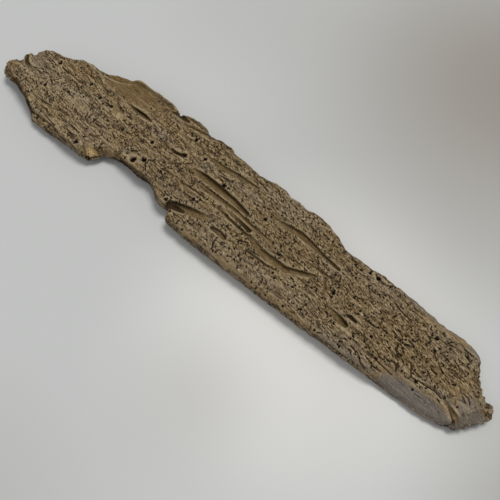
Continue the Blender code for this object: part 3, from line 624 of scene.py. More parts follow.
class Face:
    """Heights and marks of one face of the plank, on a fine grid of places."""

    def __init__(self):
        self.low = np.array(GRID_CORNER)
        cells = (np.array(GRID_SIZE) / GRID_STEP).astype(int)
        rows = [low + GRID_STEP * np.arange(count) for low, count in zip(self.low, cells)]
        self.x, self.y = np.meshgrid(*rows, indexing="ij")
        self.field = {name: np.zeros(self.x.shape) for name in (*MARKS, "cut", "fine", "height")}

    def window(self, start, end, reach):
        """The part of the grid around a straight piece."""
        low = (np.minimum(start, end) - reach - self.low) / GRID_STEP
        high = (np.maximum(start, end) + reach - self.low) / GRID_STEP
        low = np.clip(np.floor(low).astype(int), 0, None)
        high = np.clip(np.ceil(high).astype(int) + 1, 1, None)
        return slice(low[0], high[0]), slice(low[1], high[1])

    def raise_to(self, name, at, values):
        field = self.field[name]
        field[at] = np.maximum(field[at], values)

    def pieces(self, path, widening, reach):
        """For each straight piece of a groove: its part of the grid, the distance from it and the
        side, both in half widths, and the depth."""
        for (*start, half0, deep0), (*end, half1, deep1) in zip(path, path[1:]):
            at = self.window(start, end, reach * widening * max(half0, half1))
            along, gap, side = beside(self.x[at], self.y[at], start, end)
            half = widening * (half0 + along * (half1 - half0))
            yield at, gap / half, side / half, deep0 + along * (deep1 - deep0)

    def press(self, path, depth_name, strength):
        """Presses a groove into one field and paints shade into it as the hollow mark, with a
        strength.
        """
        for at, gap, _, deep in self.pieces(path, 1.0, 1.0):
            self.raise_to(depth_name, at, deep * inside(gap, 1.0, PRESSED_WALL))
            self.raise_to("hollow", at, strength * inside(gap, *PRESSED_SHADE))

    def trough(self, path, dark):
        """Presses a smooth trough: steep at the far side, sloping gently up to the near side, with
        painted shade on its far wall and, in dark grooves, on its floor too.
        """
        for at, gap, side, deep in self.pieces(path, TROUGH_WIDENING, TROUGH_REACH):
            farness = np.clip(side, -1.0, 1.0)
            slope = ((farness + 1.0) / TROUGH_TILT) ** TROUGH_BEND
            self.raise_to("cut", at, deep * inside(gap, 1.0, FAR_WALL_SHARE) * slope)
            # The far wall, turned away from the light, gets painted shade.
            wall = inside(gap, *TROUGH_WALL_SHADE) * between(farness, *TROUGH_SHADED_SIDE)
            wall = np.maximum(wall, dark * inside(gap, *TROUGH_DARK_SHADE))
            self.raise_to("hollow", at, np.clip(deep / DARKEST_SHADE_DEPTH, 0.0, 1.0) * wall)
            floor = inside(gap, *TROUGH_FLOOR_MARK) * np.clip(deep / FLOOR_DEPTH, 0.0, 1.0)
            self.raise_to("trough", at, floor)

    def bore(self, x, y, radius, deep):
        """Sinks one round hole."""
        at = self.window((x, y), (x, y), radius * HOLE_REACH)
        gap = np.hypot(self.x[at] - x, self.y[at] - y) / radius
        gap = gap + swells(self.x[at], self.y[at], *HOLE_RAGGEDNESS)
        self.raise_to("cut", at, deep * inside(gap, HOLE_RIM, HOLE_RIM - HOLE_FLOOR))
        self.raise_to("black", at, inside(gap, *HOLE_MARK))

    def smoothed(self, values, width):
        """The field averaged over about width millimetres."""
        along = np.fft.fftfreq(values.shape[0], GRID_STEP)[:, None]
        across = np.fft.rfftfreq(values.shape[1], GRID_STEP)[None, :]
        keep = np.exp(-2.0 * (math.pi * width) ** 2 * (along ** 2 + across ** 2))
        return np.fft.irfft2(np.fft.rfft2(values) * keep, s=values.shape)

    def read(self, name, x, y):
        """The field at any places, drawn between the nearest four grid places."""
        values = self.field[name]
        along = np.clip((x - self.low[0]) / GRID_STEP, 0, values.shape[0] - 1.001)
        across = np.clip((y - self.low[1]) / GRID_STEP, 0, values.shape[1] - 1.001)
        i, j = along.astype(int), across.astype(int)
        return blended(values, i, j, i + 1, j + 1, along - i, across - j)


def smooth_ground(x, y):
    """True in the scoop and on the worn facet, which have no beetle tracks."""
    start, end, line = SCOOP_GROUND
    return (start < x < end and y > line) or (x > FACET_GROUND[0] and y < FACET_GROUND[1])


def beetle_tracks():
    """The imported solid's beetle tracks: short wandering grooves at seeded random places."""
    draw = np.random.default_rng(TRACK_SEED)
    grooves = [[point[:2] for point in path] for path in GROOVES.values()]
    tracks = []
    while len(tracks) < TRACK_COUNT:
        x = draw.uniform(*TRACK_ZONE)
        y = draw.uniform(near_y(x) + TRACK_MARGIN, far_y(x) - TRACK_MARGIN)
        heading = draw.normal(*TRACK_HEADING)
        half, deep = draw.uniform(*TRACK_HALF_WIDTH), draw.uniform(*TRACK_DEPTH)
        track = [(x, y, half * TRACK_START[0], deep * TRACK_START[1])]
        for _ in range(draw.integers(*TRACK_STEPS)):
            heading += draw.normal(0.0, TRACK_TURN)
            x, y = x + TRACK_STEP * np.cos(heading), y + TRACK_STEP * np.sin(heading)
            track.append((x, y, half, deep))
        ends_x, ends_y = np.array([track[0][:2], track[-1][:2]]).T
        clear = min(line_gap(ends_x, ends_y, path).min() for path in grooves) > TRACK_CLEARANCE
        within = near_y(x) + TRACK_MARGIN < y < far_y(x) - TRACK_MARGIN
        smooth = smooth_ground(*track[0][:2]) or smooth_ground(x, y)
        if clear and within and not smooth:
            tracks.append(track)
    return tracks


def fine_tracks(face, kinds, seed):
    """Presses many narrow beetle tracks, each a short seeded walk."""
    draw = np.random.default_rng(seed)
    for count, zone, middle, spread, steps, bend, bend_spread in kinds:
        for _ in range(count):
            x = draw.uniform(*zone)
            y = draw.uniform(near_y(x) + FINE_MARGIN, far_y(x) - FINE_MARGIN)
            heading = draw.normal(middle, spread)
            curl = draw.choice((-1.0, 1.0)) * bend + draw.normal(0.0, bend_spread)
            half, deep = draw.uniform(*FINE_HALF_WIDTH), draw.uniform(*FINE_DEPTH)
            strength = draw.uniform(*FINE_STRENGTH)
            number = draw.integers(*steps)
            calm = smooth_ground(x, y) or (x > CALM_GROUND[0] and y > CALM_GROUND[1])
            keep = draw.uniform() > CALM_SHARE * float(calm)
            track = [(x, y, half * FINE_START[0], deep * FINE_START[1])]
            for _ in range(number):
                heading += curl
                x, y = x + FINE_STEP * np.cos(heading), y + FINE_STEP * np.sin(heading)
                track.append((x, y, half, deep))
            track[-1] = (x, y, half * FINE_END, deep)
            if keep:
                face.press(track, "fine", strength)


def bore_holes(face):
    """Bores the holes that stand out and seeded clusters of pin holes."""
    for x, y, radius, deep in HOLES:
        face.bore(x, y, radius, deep)
    for x, y, radius in SMALL_HOLES:
        face.bore(x, y, SMALL_HOLE_SHARE * radius, SMALL_HOLE_DEPTH * radius)
    draw = np.random.default_rng(HOLE_SEED)
    for _ in range(HOLE_CLUSTERS):
        middle_x = draw.uniform(*PIN_ZONE)
        middle_y = draw.uniform(near_y(middle_x) + PIN_MARGIN, far_y(middle_x) - PIN_MARGIN)
        for _ in range(draw.integers(*HOLES_IN_CLUSTER)):
            x = middle_x + draw.normal(0.0, HOLE_SPREAD[0])
            y = middle_y + draw.normal(0.0, HOLE_SPREAD[1])
            radius = draw.uniform(*PIN_RADIUS)
            if not smooth_ground(x, y):
                face.bore(x, y, radius, PIN_DEPTH * radius)


def far_side_forms(x, y, far):
    """Scoop, lip and lower ledge along the far edge: what they add to the height."""
    inward = far - y
    scoop, lip = stretch(x, *SCOOP_SPAN), stretch(x, *LIP_SPAN)
    height = -scoop * SCOOP_DEPTH * (1.0 - between(inward, LIP_WIDTH, SCOOP_WIDTH))
    height = height + lip * LIP_HEIGHT * (1.0 - between(inward, LIP_CREST, LIP_FOOT))
    behind = y - np.interp(x, *columns(RIDGE))
    ledge = stretch(x, *LEDGE_SPAN)
    kept = 1.0 + (LEDGE_LEFT_IN_SCOOP - 1.0) * scoop
    height = height - ledge * LEDGE_DROP * kept * between(behind, 0.0, LEDGE_SLOPE_WIDTH)
    return height + ledge * RIDGE_HEIGHT * np.exp(-(behind / RIDGE_WIDTH) ** 2)


def near_side_forms(x, y):
    """Lower ledge, broken flank and worn facet along the near edge."""
    outward = np.interp(x, *columns(UPPER_RIM)) - y
    ledge = stretch(x, *NEAR_LEDGE_SPAN)
    height = -ledge * NEAR_LEDGE_DROP * between(outward, 0.0, FURROW_PLACE)
    furrow = np.exp(-((outward - FURROW_PLACE) / FURROW_WIDTH) ** 2)
    height = height - ledge * NEAR_LEDGE_FURROW * furrow
    flank = line_gap(x, y, BITE_FLANK)
    height = height - FLANK_DROP * (1.0 - ease(flank / FLANK_WIDTH)) ** FLANK_HOLLOWING
    facet = np.logaddexp(0.0, (FACET_START_Y - y) / FACET_BEND) * FACET_BEND
    return height - FACET_SLOPE * facet * between(x, *FACET_SPAN)


def smooth_share(face):
    """Where the wood is worn smooth: scoop, facet, broken flank, groove floors and rims."""
    x, y = face.x, face.y
    start, end, line = SMOOTH_SCOOP
    scoop = between(x, *start) * between(-x, *end) * between(y, *line)
    facet = between(x, *SMOOTH_FACET[0]) * between(-y, *SMOOTH_FACET[1])
    flank = 1.0 - ease(line_gap(x, y, BITE_FLANK) / SMOOTH_FLANK_WIDTH)
    near_rim = between(x, *SMOOTH_NEAR_RIM[0]) * (1.0 - between(y - near_y(x), *SMOOTH_NEAR_RIM[1]))
    far_rim = between(x, *SMOOTH_FAR_RIM[0]) * (1.0 - between(far_y(x) - y, *SMOOTH_FAR_RIM[1]))
    tip = between(x, *SMOOTH_TIP[0]) * (1.0 - between(y, *SMOOTH_TIP[1]))
    places = (scoop, facet, flank, face.field["trough"], near_rim, far_rim, tip)
    return np.maximum.reduce([share * place for share, place in zip(SMOOTHNESS, places)])


def flaked(x, y):
    """Thin layers that end in small steps."""
    level = swells(x, y, *FLAKES) * FLAKE_LAYERS
    whole = np.floor(level)
    return FLAKE_STEP * (whole + ease((level - whole - FLAKE_EDGE[0]) / FLAKE_EDGE[1]))


def crumbs(x, y, seed_step):
    """Crumbling wood, its grain aslant to the plank."""
    return sum(swells(x + CRUMB_SLANT * y, y, *size, seed + seed_step) for *size, seed in CRUMBS)


def upper_face():
    """The upper face with everything that wave, worm and beetle did to it."""
    face = Face()
    x, y, field = face.x, face.y, face.field
    for name, path in GROOVES.items():
        face.trough(path, float(name in DARK_GROOVES))
    for path in beetle_tracks():
        narrow = [(px, py, half * TRACK_NARROWING, deep * TRACK_SHALLOWING)
                  for px, py, half, deep in path]
        face.press(narrow, "cut", TRACK_SHADE)
    for path in GALLERIES:
        face.press([(*point, GALLERY_HALF_WIDTH, GALLERY_DEPTH) for point in path],
                   "cut", GALLERY_SHADE)
    fine_tracks(face, FINE_TRACKS, FINE_SEED)
    bore_holes(face)
    near, far = near_y(x), far_y(x)
    across = (2.0 * y - near - far) / (far - near)
    height = np.interp(x, *columns(SPINE)) - CROWN * across ** 2
    height = height + swells(x, y, *SWELL) + swells(x, y, *GRAIN_WAVE)
    height = height + far_side_forms(x, y, far) + near_side_forms(x, y)
    rough = 1.0 - smooth_share(face)
    flakes = flaked(x, y) * (1.0 - between(x, *UNFLAKED_SPAN))
    height = height + rough * (crumbs(x, y, 0) + flakes) + swells(x, y, *FIBRES)
    # Painted shade along the near edge goes into the hollow mark.
    field["hollow"] = np.maximum(field["hollow"], patches(x, y, PAINTED_SHADE_PATCHES))
    fine_share = FINE_ON_SMOOTH + (1.0 - FINE_ON_SMOOTH) * rough
    field["height"] = height - np.maximum(field["cut"], field["fine"] * fine_share)
    field["relief"] = field["height"] - face.smoothed(field["height"], RELIEF_WIDTH)
    for name, spots in TONE_PATCHES.items():
        field[name] = patches(x, y, spots)
    field["worn"] = 1.0 - rough
    return face


def under_face():
    """The underside: a hollow belly between the worn flats, bored by fewer beetles."""
    face = Face()
    x, y, field = face.x, face.y, face.field
    fine_tracks(face, UNDER_TRACKS, UNDER_SEED)
    rise, length, width = BELLY_WAVE
    height = BELLY + rise * np.sin(x / length) * np.cos(y / width)
    for flat_x, flat_y, radius in FLATS:
        clear = (np.hypot(x - flat_x, y - flat_y) - radius) * BELLY_SLOPE
        height = np.minimum(height, np.clip(clear, 0.0, None))
    height = height + LIFT * between(x, *LIFT_SPAN)
    free = between(height, 0.0, 1.0)
    weather = np.abs(crumbs(x, y, UNDER_SEED_STEP)) + np.abs(swells(x, y, *UNDER_SWELL))
    field["height"] = height + free * weather + field["fine"]
    field["relief"] = face.smoothed(field["height"], RELIEF_WIDTH) - field["height"]
    field["gold"] = 0.5 + swells(x, y, *UNDER_GOLD)
    field["grey"] = UNDER_GREY[0] + UNDER_GREY[1] * (1.0 - free)
    return face


def column_places():
    """X of each column of cells, set closer where an edge turns steeply."""
    x = np.linspace(FAR_EDGE[0][0], FAR_EDGE[-1][0], EDGE_SAMPLES)
    travel = np.hypot(1.0, np.gradient(near_y(x), x)) + np.hypot(1.0, np.gradient(far_y(x), x))
    share = np.concatenate(([0.0], np.cumsum(travel[1:])))
    return np.interp(np.linspace(0.0, share[-1], CELLS_LONG + 1), share, x)


def outline():
    """The softened outline as one closed loop, with its outward directions."""
    x = column_places()
    part_x = (x - x[0]) / (x[-1] - x[0])
    near_x = NEAR_EDGE[0][0] + part_x * (NEAR_EDGE[-1][0] - NEAR_EDGE[0][0])
    near_side = np.stack((near_x, near_y(near_x)), axis=1)
    far_side = np.stack((x, far_y(x)), axis=1)
    rows = np.linspace(0.0, 1.0, CELLS_WIDE + 1)
    right_side, left_side = resample(RIGHT_END, rows), resample(LEFT_END, rows)
    loop = np.concatenate((near_side[:-1], right_side[:-1], far_side[:0:-1], left_side[:0:-1]))
    loop = blurred(loop, OUTLINE_SOFTENING)
    ahead = np.roll(loop, -DIRECTION_STEP, axis=0) - np.roll(loop, DIRECTION_STEP, axis=0)
    ahead = blurred(ahead, DIRECTION_SOFTENING)
    outward = np.stack((ahead[:, 1], -ahead[:, 0]), axis=1)
    outward /= np.linalg.norm(outward, axis=1)[:, None]
    return loop, outward, part_x


def wall_inset(share, x):
    """How far the side wall stands in from the outline at a share of its height."""
    lean = LEAN_TOP + (LEAN_TOP_RIGHT_END - LEAN_TOP) * between(x, *RIGHT_END_SPAN)
    lean = lean + (LEAN_TOP_LEFT_END - LEAN_TOP) * between(-x, *LEFT_END_SPAN)
    above = np.clip((share - WAIST) / (1.0 - WAIST), 0.0, 1.0) ** 2
    below = np.clip((WAIST - share) / WAIST, 0.0, 1.0) ** 2
    return lean * above + LEAN_BOTTOM * below


def wall_relief(loop, share):
    """Layers, splinters and chips of the side wall at a share of its height."""
    arc = np.concatenate(([0.0], np.cumsum(np.linalg.norm(np.diff(loop, axis=0), axis=1))))
    height = np.full_like(arc, share * WALL_HEIGHT)
    x = loop[:, 0]
    ends = np.maximum(between(x, *RIGHT_SPLINTER_SPAN), between(-x, *LEFT_SPLINTER_SPAN))
    relief = sum(swells(arc, height, *layer) for layer in WALL_LAYERS)
    relief = relief + swells(arc, height * RIM_CHIP_TALLNESS, *RIM_CHIPS)
    return relief + ends * swells(arc, height, *END_SPLINTERS)


def wall_recess(loop, outward, share):
    """How deep the near wall's recesses are and how much painted shade they get, at a share of its
    height.
    """
    near = between(-outward[:, 1], *RECESS_FACING) * np.sin(math.pi * share) ** RECESS_BEND
    depth, dark = np.zeros(len(loop)), np.zeros(len(loop))
    for span, deep, recess_shade in RECESSES:
        place = stretch(loop[:, 0], *span) * near
        depth = np.maximum(depth, place * deep)
        dark = np.maximum(dark, place * recess_shade)
    return depth, dark


def plan_at(rim, part_x, i, j):
    """Places inside a closed rim: four edges blended into one patch."""
    n, m = CELLS_LONG, CELLS_WIDE
    near, right = rim[:n + 1], rim[n:n + m + 1]
    far = rim[n + m:2 * n + m + 1][::-1]
    left = np.concatenate((rim[2 * n + m:], rim[:1]))[::-1]
    s, t = part_x[i][:, None], (j / m)[:, None]
    corners = ((1 - s) * (1 - t) * near[0] + s * (1 - t) * near[-1]
               + (1 - s) * t * far[0] + s * t * far[-1])
    return (1 - t) * near[i] + t * far[i] + (1 - s) * left[j] + s * right[j] - corners


def rim_place(i, j):
    """Index along the closed rim of each cell corner that lies on it."""
    n, m = CELLS_LONG, CELLS_WIDE
    place = np.where(j == 0, i, 2 * n + m - i)
    place = np.where((i == n) & (j > 0), n + j, place)
    place = np.where((i == 0) & (j > 0), 2 * n + 2 * m - j, place)
    return place % (2 * n + 2 * m)


def rounded(gap, radius):
    """Drop of a rounded rim at a distance in from the rim."""
    left = np.clip(radius - gap, 0.0, radius)
    return radius - np.sqrt(radius * radius - left * left)


def nearest(places, points):
    """Distance from each place to the nearest of the points."""
    return np.hypot(places[:, None, 0] - points[None, :, 0],
                    places[:, None, 1] - points[None, :, 1]).min(axis=1)


def rim_gap(places, rim, reach):
    """Distance from each place to the rim, worked out in slices and only near the rim."""
    gap = np.full(len(places), reach)
    for start in range(0, len(places), SLICE):
        part = places[start:start + SLICE]
        close = np.flatnonzero(nearest(part, rim[::COARSE_STEP]) < reach + COARSE_REACH)
        if len(close):
            gap[start + close] = np.minimum(nearest(part[close], rim), reach)
    return gap


def cell_block():
    """A block two units wide each way, cut into cells along all three axes."""
    block = bmesh.new()
    bmesh.ops.create_cube(block, size=2.0)
    for axis, cells in enumerate((CELLS_LONG, CELLS_WIDE, CELLS_HIGH)):
        whole = [edge for edge in block.edges
                 if abs(edge.verts[0].co[axis] - edge.verts[1].co[axis]) > WHOLE_EDGE]
        bmesh.ops.subdivide_edges(block, edges=whole, cuts=cells - 1, use_grid_fill=True)
    mesh = bpy.data.meshes.new("cell block")
    block.to_mesh(mesh)
    block.free()
    return mesh


def face_points(face, rim, part_x, i, j, rounding, sign):
    """Places and heights of one face's cell corners, with a rounded rim."""
    places = plan_at(rim, part_x, i, j)
    height = face.read("height", places[:, 0], places[:, 1])
    height = height + sign * rounded(rim_gap(places, rim, rounding), rounding)
    return np.column_stack((places, height))


def marks_at(face, points):
    """The marks of a face at cell corners."""
    return np.column_stack([face.read(name, points[:, 0], points[:, 1]) for name in MARKS])


def store(mesh, name, kind, field, values):
    attribute = mesh.attributes.new(name, kind, "POINT")
    attribute.data.foreach_set(field, values.ravel())


def shape_block(mesh):
    """Moves every point of the block to its place and stores its marks."""
    points = np.empty(len(mesh.vertices) * 3)
    mesh.vertices.foreach_get("co", points)
    cell = (points.reshape(-1, 3) + 1.0) * 0.5 * (CELLS_LONG, CELLS_WIDE, CELLS_HIGH)
    i, j, k = np.rint(cell).astype(int).T
    loop, outward, part_x = outline()
    upper, under = upper_face(), under_face()
    shares = np.arange(CELLS_HIGH + 1) / CELLS_HIGH
    recesses, recess_shades = zip(*[wall_recess(loop, outward, share) for share in shares])
    reliefs = [wall_relief(loop, share) - recess for share, recess in zip(shares, recesses)]
    rims = [loop + outward * (relief - wall_inset(share, loop[:, 0]))[:, None]
            for share, relief in zip(shares, reliefs)]
    ceiling = upper.read("height", *rims[-1].T) - TOP_ROUNDING
    floor = under.read("height", *rims[0].T) + BOTTOM_ROUNDING
    placed, marks = np.empty((len(i), 3)), np.zeros((len(i), len(MARKS)))
    top, base = k == CELLS_HIGH, k == 0
    placed[top] = face_points(upper, rims[-1], part_x, i[top], j[top], TOP_ROUNDING, -1.0)
    placed[base] = face_points(under, rims[0], part_x, i[base], j[base], BOTTOM_ROUNDING, 1.0)
    marks[top], marks[base] = marks_at(upper, placed[top]), marks_at(under, placed[base])
    mark = dict(zip(MARKS, marks.T))
    for level in range(1, CELLS_HIGH):
        wall = k == level
        place = rim_place(i[wall], j[wall])
        placed[wall, :2] = rims[level][place]
        placed[wall, 2] = (shares[level] * ceiling + (1.0 - shares[level]) * floor)[place]
        recess_shade = recess_shades[level][place]
        facet = (between(placed[wall, 0], *FACET_WALL_SPAN)
                 * between(-outward[place, 1], *FACET_WALL_FACING))
        # Walls are painted darker, more in the recesses: partly their own tone, partly painted
        # shade.
        mark["hollow"][wall] = np.maximum(recess_shade, WALL_TONE_AND_SHADE)
        mark["grey"][wall] = (WALL_GREY + (1.0 - WALL_GREY) * facet) * (1.0 - recess_shade)
        mark["relief"][wall] = reliefs[level][place] * (1.0 - FACET_WALL_CALM * facet)
        mark["worn"][wall] = FACET_WALL_WEAR * facet
    placed[:, :2] -= PLAN_MIDDLE
    placed[:, 2] = np.clip(placed[:, 2], GROUND_CLEARANCE, None)
    mesh.vertices.foreach_set("co", (placed * MM).ravel())
    store(mesh, "tone_and_shade", "FLOAT_COLOR", "color", marks[:, :4])
    store(mesh, "wear_and_light", "FLOAT_COLOR", "color", marks[:, 4:8])
    store(mesh, "floor", "FLOAT", "value", marks[:, 8])
    mesh.update()


def put(name, data):
    """A new object of the scene."""
    item = bpy.data.objects.new(name, data)
    bpy.context.scene.collection.objects.link(item)
    return item


def thinned(mesh):
    """The same form with TRIANGLES triangles, the small ones kept where the form is fine."""
    dense = put("dense plank", mesh)
    thin = dense.modifiers.new("thin", "DECIMATE")
    thin.ratio = TRIANGLES / (2.0 * len(mesh.polygons))
    thin.use_collapse_triangulate = True
    graph = bpy.context.evaluated_depsgraph_get()
    plank = bpy.data.meshes.new_from_object(dense.evaluated_get(graph))
    bpy.data.objects.remove(dense, do_unlink=True)
    bpy.data.meshes.remove(mesh)
    return plank


class Nodes:
    """Short calls for building a material's node tree."""

    def __init__(self, name):
        self.material = bpy.data.materials.new(name)
        self.material.use_nodes = True
        self.tree = self.material.node_tree
        self.shader = self.tree.nodes["Principled BSDF"]
        self.place = self.add("ShaderNodeTexCoord").outputs["Object"]

    def add(self, kind, **settings):
        node = self.tree.nodes.new(kind)
        for name, value in settings.items():
            setattr(node, name, value)
        return node

    def give(self, node, **given):
        """Joins outputs to a node's inputs, or sets the inputs to values."""
        for name, what in given.items():
            self.value(node.inputs[name.replace("_", " ")], what)
        return node

    def value(self, socket, given):
        if isinstance(given, bpy.types.NodeSocket):
            self.tree.links.new(given, socket)
        else:
            socket.default_value = given

    def sums(self, operation, first, second=0.0, clamp=False):
        node = self.add("ShaderNodeMath", operation=operation, use_clamp=clamp)
        self.value(node.inputs[0], first)
        self.value(node.inputs[1], second)
        return node.outputs[0]

    def product(self, first, second, third):
        return self.sums("MULTIPLY", self.sums("MULTIPLY", first, second, True), third)

    def attribute(self, name):
        return self.add("ShaderNodeAttribute", attribute_name=name).outputs

    def split(self, colour):
        return self.give(self.add("ShaderNodeSeparateColor"), Color=colour).outputs

    def along(self):
        """How far along the plank the place is."""
        return self.give(self.add("ShaderNodeSeparateXYZ"), Vector=self.place).outputs[0]

    def distance(self, point):
        """How far the place is from a point in plan."""
        node = self.add("ShaderNodeVectorMath", operation="DISTANCE")
        self.value(node.inputs[0], self.place)
        node.inputs[1].default_value = (*point, 0.0)
        return node.outputs["Value"]

    def stretched(self, long, wide, turn):
        """The place measured in a length and a width, along axes turned in plan."""
        size = (long * MM, wide * MM, wide * MM)
        node = self.add("ShaderNodeMapping", vector_type="TEXTURE")
        self.give(node, Vector=self.place, Scale=size, Rotation=(0.0, 0.0, turn))
        return node.outputs["Vector"]

    def noise(self, long, wide, turn, detail, roughness, distortion):
        node = self.give(self.add("ShaderNodeTexNoise"), Vector=self.stretched(long, wide, turn),
                         Scale=1.0, Detail=detail, Roughness=roughness, Distortion=distortion)
        return node.outputs["Fac"]

    def above(self, value, start, end, most=1.0):
        """A share that goes smoothly from 0 at start to most at end."""
        node = self.add("ShaderNodeMapRange", interpolation_type="SMOOTHSTEP")
        self.give(node, Value=value, From_Min=start, From_Max=end, To_Min=0.0, To_Max=most)
        return node.outputs["Result"]

    def ramp(self, factor, *stops):
        node = self.give(self.add("ShaderNodeValToRGB"), Fac=factor)
        points = node.color_ramp.elements
        while len(points) < len(stops):
            points.new(0.5)
        for point, (place, colour) in zip(points, stops):
            point.position = place
            point.color = colour
        return node.outputs["Color"]

    def mix(self, factor, first, second):
        node = self.add("ShaderNodeMix", data_type="RGBA")
        self.value(node.inputs["Factor"], factor)
        self.value(node.inputs[6], first)
        self.value(node.inputs[7], second)
        return node.outputs[2]


def driftwood_finish_and_light():
    """Sun-bleached, sea-worn wood: tan ridges, brown cracks and black pin holes, with painted
    highlight on raised places and painted shade in dips, grooves, recesses and holes.
    """
    n = Nodes("driftwood finish and painted light")
    tone_and_shade, wear_and_light = n.attribute("tone_and_shade"), n.attribute("wear_and_light")
    hollow, gold, grey = n.split(tone_and_shade["Color"])
    black, pale = tone_and_shade["Alpha"], wear_and_light["Alpha"]
    relief, worn, fresh_and_highlight = n.split(wear_and_light["Color"])
    gold_floor = n.attribute("floor")["Fac"]
    rough = n.sums("SUBTRACT", 1.0, worn, True)
    crumbly = n.sums("ADD", n.sums("MULTIPLY", rough, 1.0 - CRUMBLY_LEAST), CRUMBLY_LEAST)
    blotch, grain, cloud, fibre, crumb, streak, fleck, broken, swarm = (
        n.noise(*numbers) for numbers in NOISES.values())
    edge = n.sums("ADD", n.sums("MULTIPLY", blotch, PATCH_BLOTCHES), PATCH_LEAST)
    leftness = n.above(n.along(), *STREAKED_SPAN)
    crumb = n.sums("ADD", crumb, n.product(n.sums("SUBTRACT", streak, crumb), leftness, 1.0))

    whole = n.above(broken, *BROKEN_SPAN)
    side = n.sums("ADD", n.sums("MULTIPLY", leftness, CRACKS_LEFT), CRACKS_LEAST)
    crack = 0.0
    for (*size, width, most), share in zip(CRACKS, (1.0, side)):
        split = n.noise(*size, 0.0, 0.5, 0.0)
        gap = n.sums("ABSOLUTE", n.sums("SUBTRACT", split, 0.5))
        line = n.product(n.above(gap, width, width * CRACK_CORE, most), whole, rough)
        crack = n.sums("MAXIMUM", crack, n.sums("MULTIPLY", line, share))

    swarming, bored, pin = n.above(swarm, *SWARM_SPAN), n.above(n.along(), *BORED_SPAN), 0.0
    for *size, radius, few, many in BORED:
        cell = n.give(n.add("ShaderNodeTexVoronoi"), Vector=n.stretched(*size), Scale=1.0).outputs
        share = n.sums("SUBTRACT", few, n.sums("MULTIPLY", swarming, few - many))
        chosen = n.sums("GREATER_THAN", n.split(cell["Color"])[0], n.sums("SUBTRACT", share, bored))
        dark = n.above(cell["Distance"], radius, radius * PIN_CORE)
        pin = n.sums("MAXIMUM", pin, n.sums("MULTIPLY", dark, chosen))
    pin = n.product(pin, n.above(rough, *PIN_ROUGHNESS), 1.0)

    colour = n.ramp(grain, (0.32, WOOD_DARK), (0.48, WOOD_MID), (0.66, WOOD_LIGHT))
    # Each tint: the two shares that say where it lies, its strength and its colour.
    tints = [
        (n.above(blotch, 0.46, 0.72), 1.0, 0.5, WOOD_GREY),
        (pale, edge, 0.7, PALE_WOOD),
        (n.above(cloud, 0.50, 0.36), rough, 0.55, CLOUD_BROWN),
        (gold, edge, 0.8, WOOD_GOLD),
        (grey, edge, 0.85, WOOD_GREY),
        (worn, n.above(gold, 0.0, 0.6), 0.75, WORN_TAN),
        (worn, n.above(grey, 0.3, 0.8), 0.8, WORN_GREY),
        (gold_floor, 1.0, 0.7, TROUGH_GOLD),
        (n.above(fibre, 0.50, 0.66), crumbly, 0.45, BLEACH_AND_HIGHLIGHT),
        (n.above(fibre, 0.50, 0.35), crumbly, 0.6, DARK_BROWN_AND_SHADE),
        (n.above(crumb, 0.52, 0.66), crumbly, 0.35, BLEACH_AND_HIGHLIGHT),
        (n.above(crumb, 0.48, 0.33), crumbly, 0.6, DARK_BROWN_AND_SHADE),
        # Light flecks: partly bleached specks, partly painted highlights on crumbs.
        (n.above(fleck, 0.60, 0.65), crumbly, 0.8, BLEACH_AND_HIGHLIGHT),
        (n.above(fleck, 0.39, 0.35), crumbly, 0.9, DARK_BROWN_AND_SHADE),
        (crack, 1.0, 1.0, DARK_BROWN_AND_SHADE),
        # Raised places lighter and dips darker: partly bleaching and dirt, partly painted highlight
        # and painted shade.
        (n.above(relief, 0.05, 0.7), 1.0, 0.45, BLEACH_AND_HIGHLIGHT),
        (n.above(relief, -0.15, -0.9), 1.0, 0.38, DARK_BROWN_AND_SHADE),
        # Painted shade from the hollow mark: in grooves, tracks and galleries, along the near edge
        # and on the side walls.
        (n.above(hollow, 0.05, 0.85), 1.0, 0.92, DARK_BROWN_AND_SHADE),
        # Fresh broken wood: partly its own colour, partly a painted highlight.
        (fresh_and_highlight, n.above(crumb, 0.36, 0.52), 0.9, FRESH_WOOD_AND_HIGHLIGHT),
        # Pin holes and bored holes painted black: painted shade inside them.
        (pin, 1.0, 0.95, HOLE_SHADE_BLACK),
        (n.above(black, 0.3, 0.65), 1.0, 0.97, HOLE_SHADE_BLACK),
    ]
    for first, second, strength, tint in tints:
        colour = n.mix(n.product(first, second, strength), colour, tint)

    low = n.sums("MULTIPLY", n.sums("ADD", crack, pin), -SUNK_BUMP)
    raised = n.sums("ADD", n.product(crumb, crumbly, CRUMB_BUMP),
                    n.sums("MULTIPLY", fibre, FIBRE_BUMP))
    bump = n.give(n.add("ShaderNodeBump"), Strength=1.0, Distance=BUMP_HEIGHT,
                  Height=n.sums("ADD", raised, low))
    n.give(n.shader, Base_Color=colour, Roughness=WOOD_ROUGHNESS, Specular_IOR_Level=WOOD_SHINE,
           Normal=bump.outputs["Normal"])
    return n.material


def plank():
    """The finished plank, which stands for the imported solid."""
    block = cell_block()
    shape_block(block)
    mesh = thinned(block)
    mesh.name = PIECE
    mesh.shade_smooth()
    mesh.materials.clear()
    mesh.materials.append(driftwood_finish_and_light())
    piece = put(PIECE, mesh)
    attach(piece, "root")
    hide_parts(NODE)


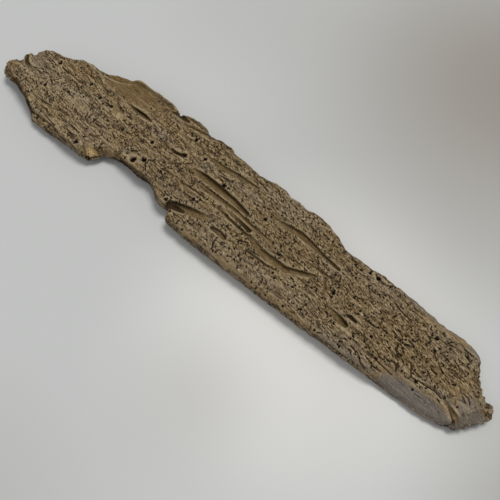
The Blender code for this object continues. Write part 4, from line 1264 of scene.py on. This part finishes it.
def floor():
    """A pale floor with a painted pool of light and painted shade in places. A pale
    floor that is a little dimmer where the photo's is.
    """
    sheet = bmesh.new()
    bmesh.ops.create_grid(sheet, x_segments=1, y_segments=1, size=FLOOR_SIZE / 2.0)
    mesh = bpy.data.meshes.new("floor")
    sheet.to_mesh(mesh)
    sheet.free()
    n = Nodes("pale floor")
    colour = n.mix(n.above(n.distance(PAINTED_LIGHT_PLACE), *PAINTED_LIGHT_REACH), FLOOR_PAINTED_LIGHT, FLOOR_EDGE)
    for middle, reach, most in PAINTED_SHADE_PLACES:
        colour = n.mix(n.above(n.distance(middle), reach, 0.0, most), colour, FLOOR_PAINTED_SHADE)
    n.give(n.shader, Base_Color=colour, Roughness=FLOOR_ROUGHNESS, Specular_IOR_Level=FLOOR_SHINE)
    mesh.materials.append(n.material)
    put("floor", mesh)


def lights():
    """An evenly lit room and soft light from two sides."""
    world = bpy.data.worlds.new("room")
    world.use_nodes = True
    background = world.node_tree.nodes["Background"]
    background.inputs["Color"].default_value = WORLD_COLOUR
    background.inputs["Strength"].default_value = WORLD_STRENGTH
    bpy.context.scene.world = world
    for source, spread, strength, colour in SUNS:
        sun = bpy.data.lights.new("window light", "SUN")
        sun.angle = math.radians(spread)
        sun.energy = strength
        sun.color = colour
        turned = Vector(source).to_track_quat("Z", "Y").to_euler()
        put("window light", sun).rotation_euler = turned


def camera():
    """The camera at the photo's angle, looking down on the plank from its near right."""
    turn, rise = math.radians(VIEW_AZIMUTH), math.radians(VIEW_ELEVATION)
    level = math.cos(rise)
    back = Vector((math.sin(turn) * level, -math.cos(turn) * level, math.sin(rise)))
    lens = bpy.data.cameras.new("camera")
    lens.lens = LENS
    lens.sensor_width = SENSOR
    holder = put("camera", lens)
    holder.location = Vector(VIEW_TARGET) + back * VIEW_DISTANCE
    holder.rotation_euler = (-back).to_track_quat("-Z", "Y").to_euler()
    bpy.context.scene.camera = holder


plank()
floor()
lights()
camera()
bpy.context.scene.view_settings.view_transform = "Standard"
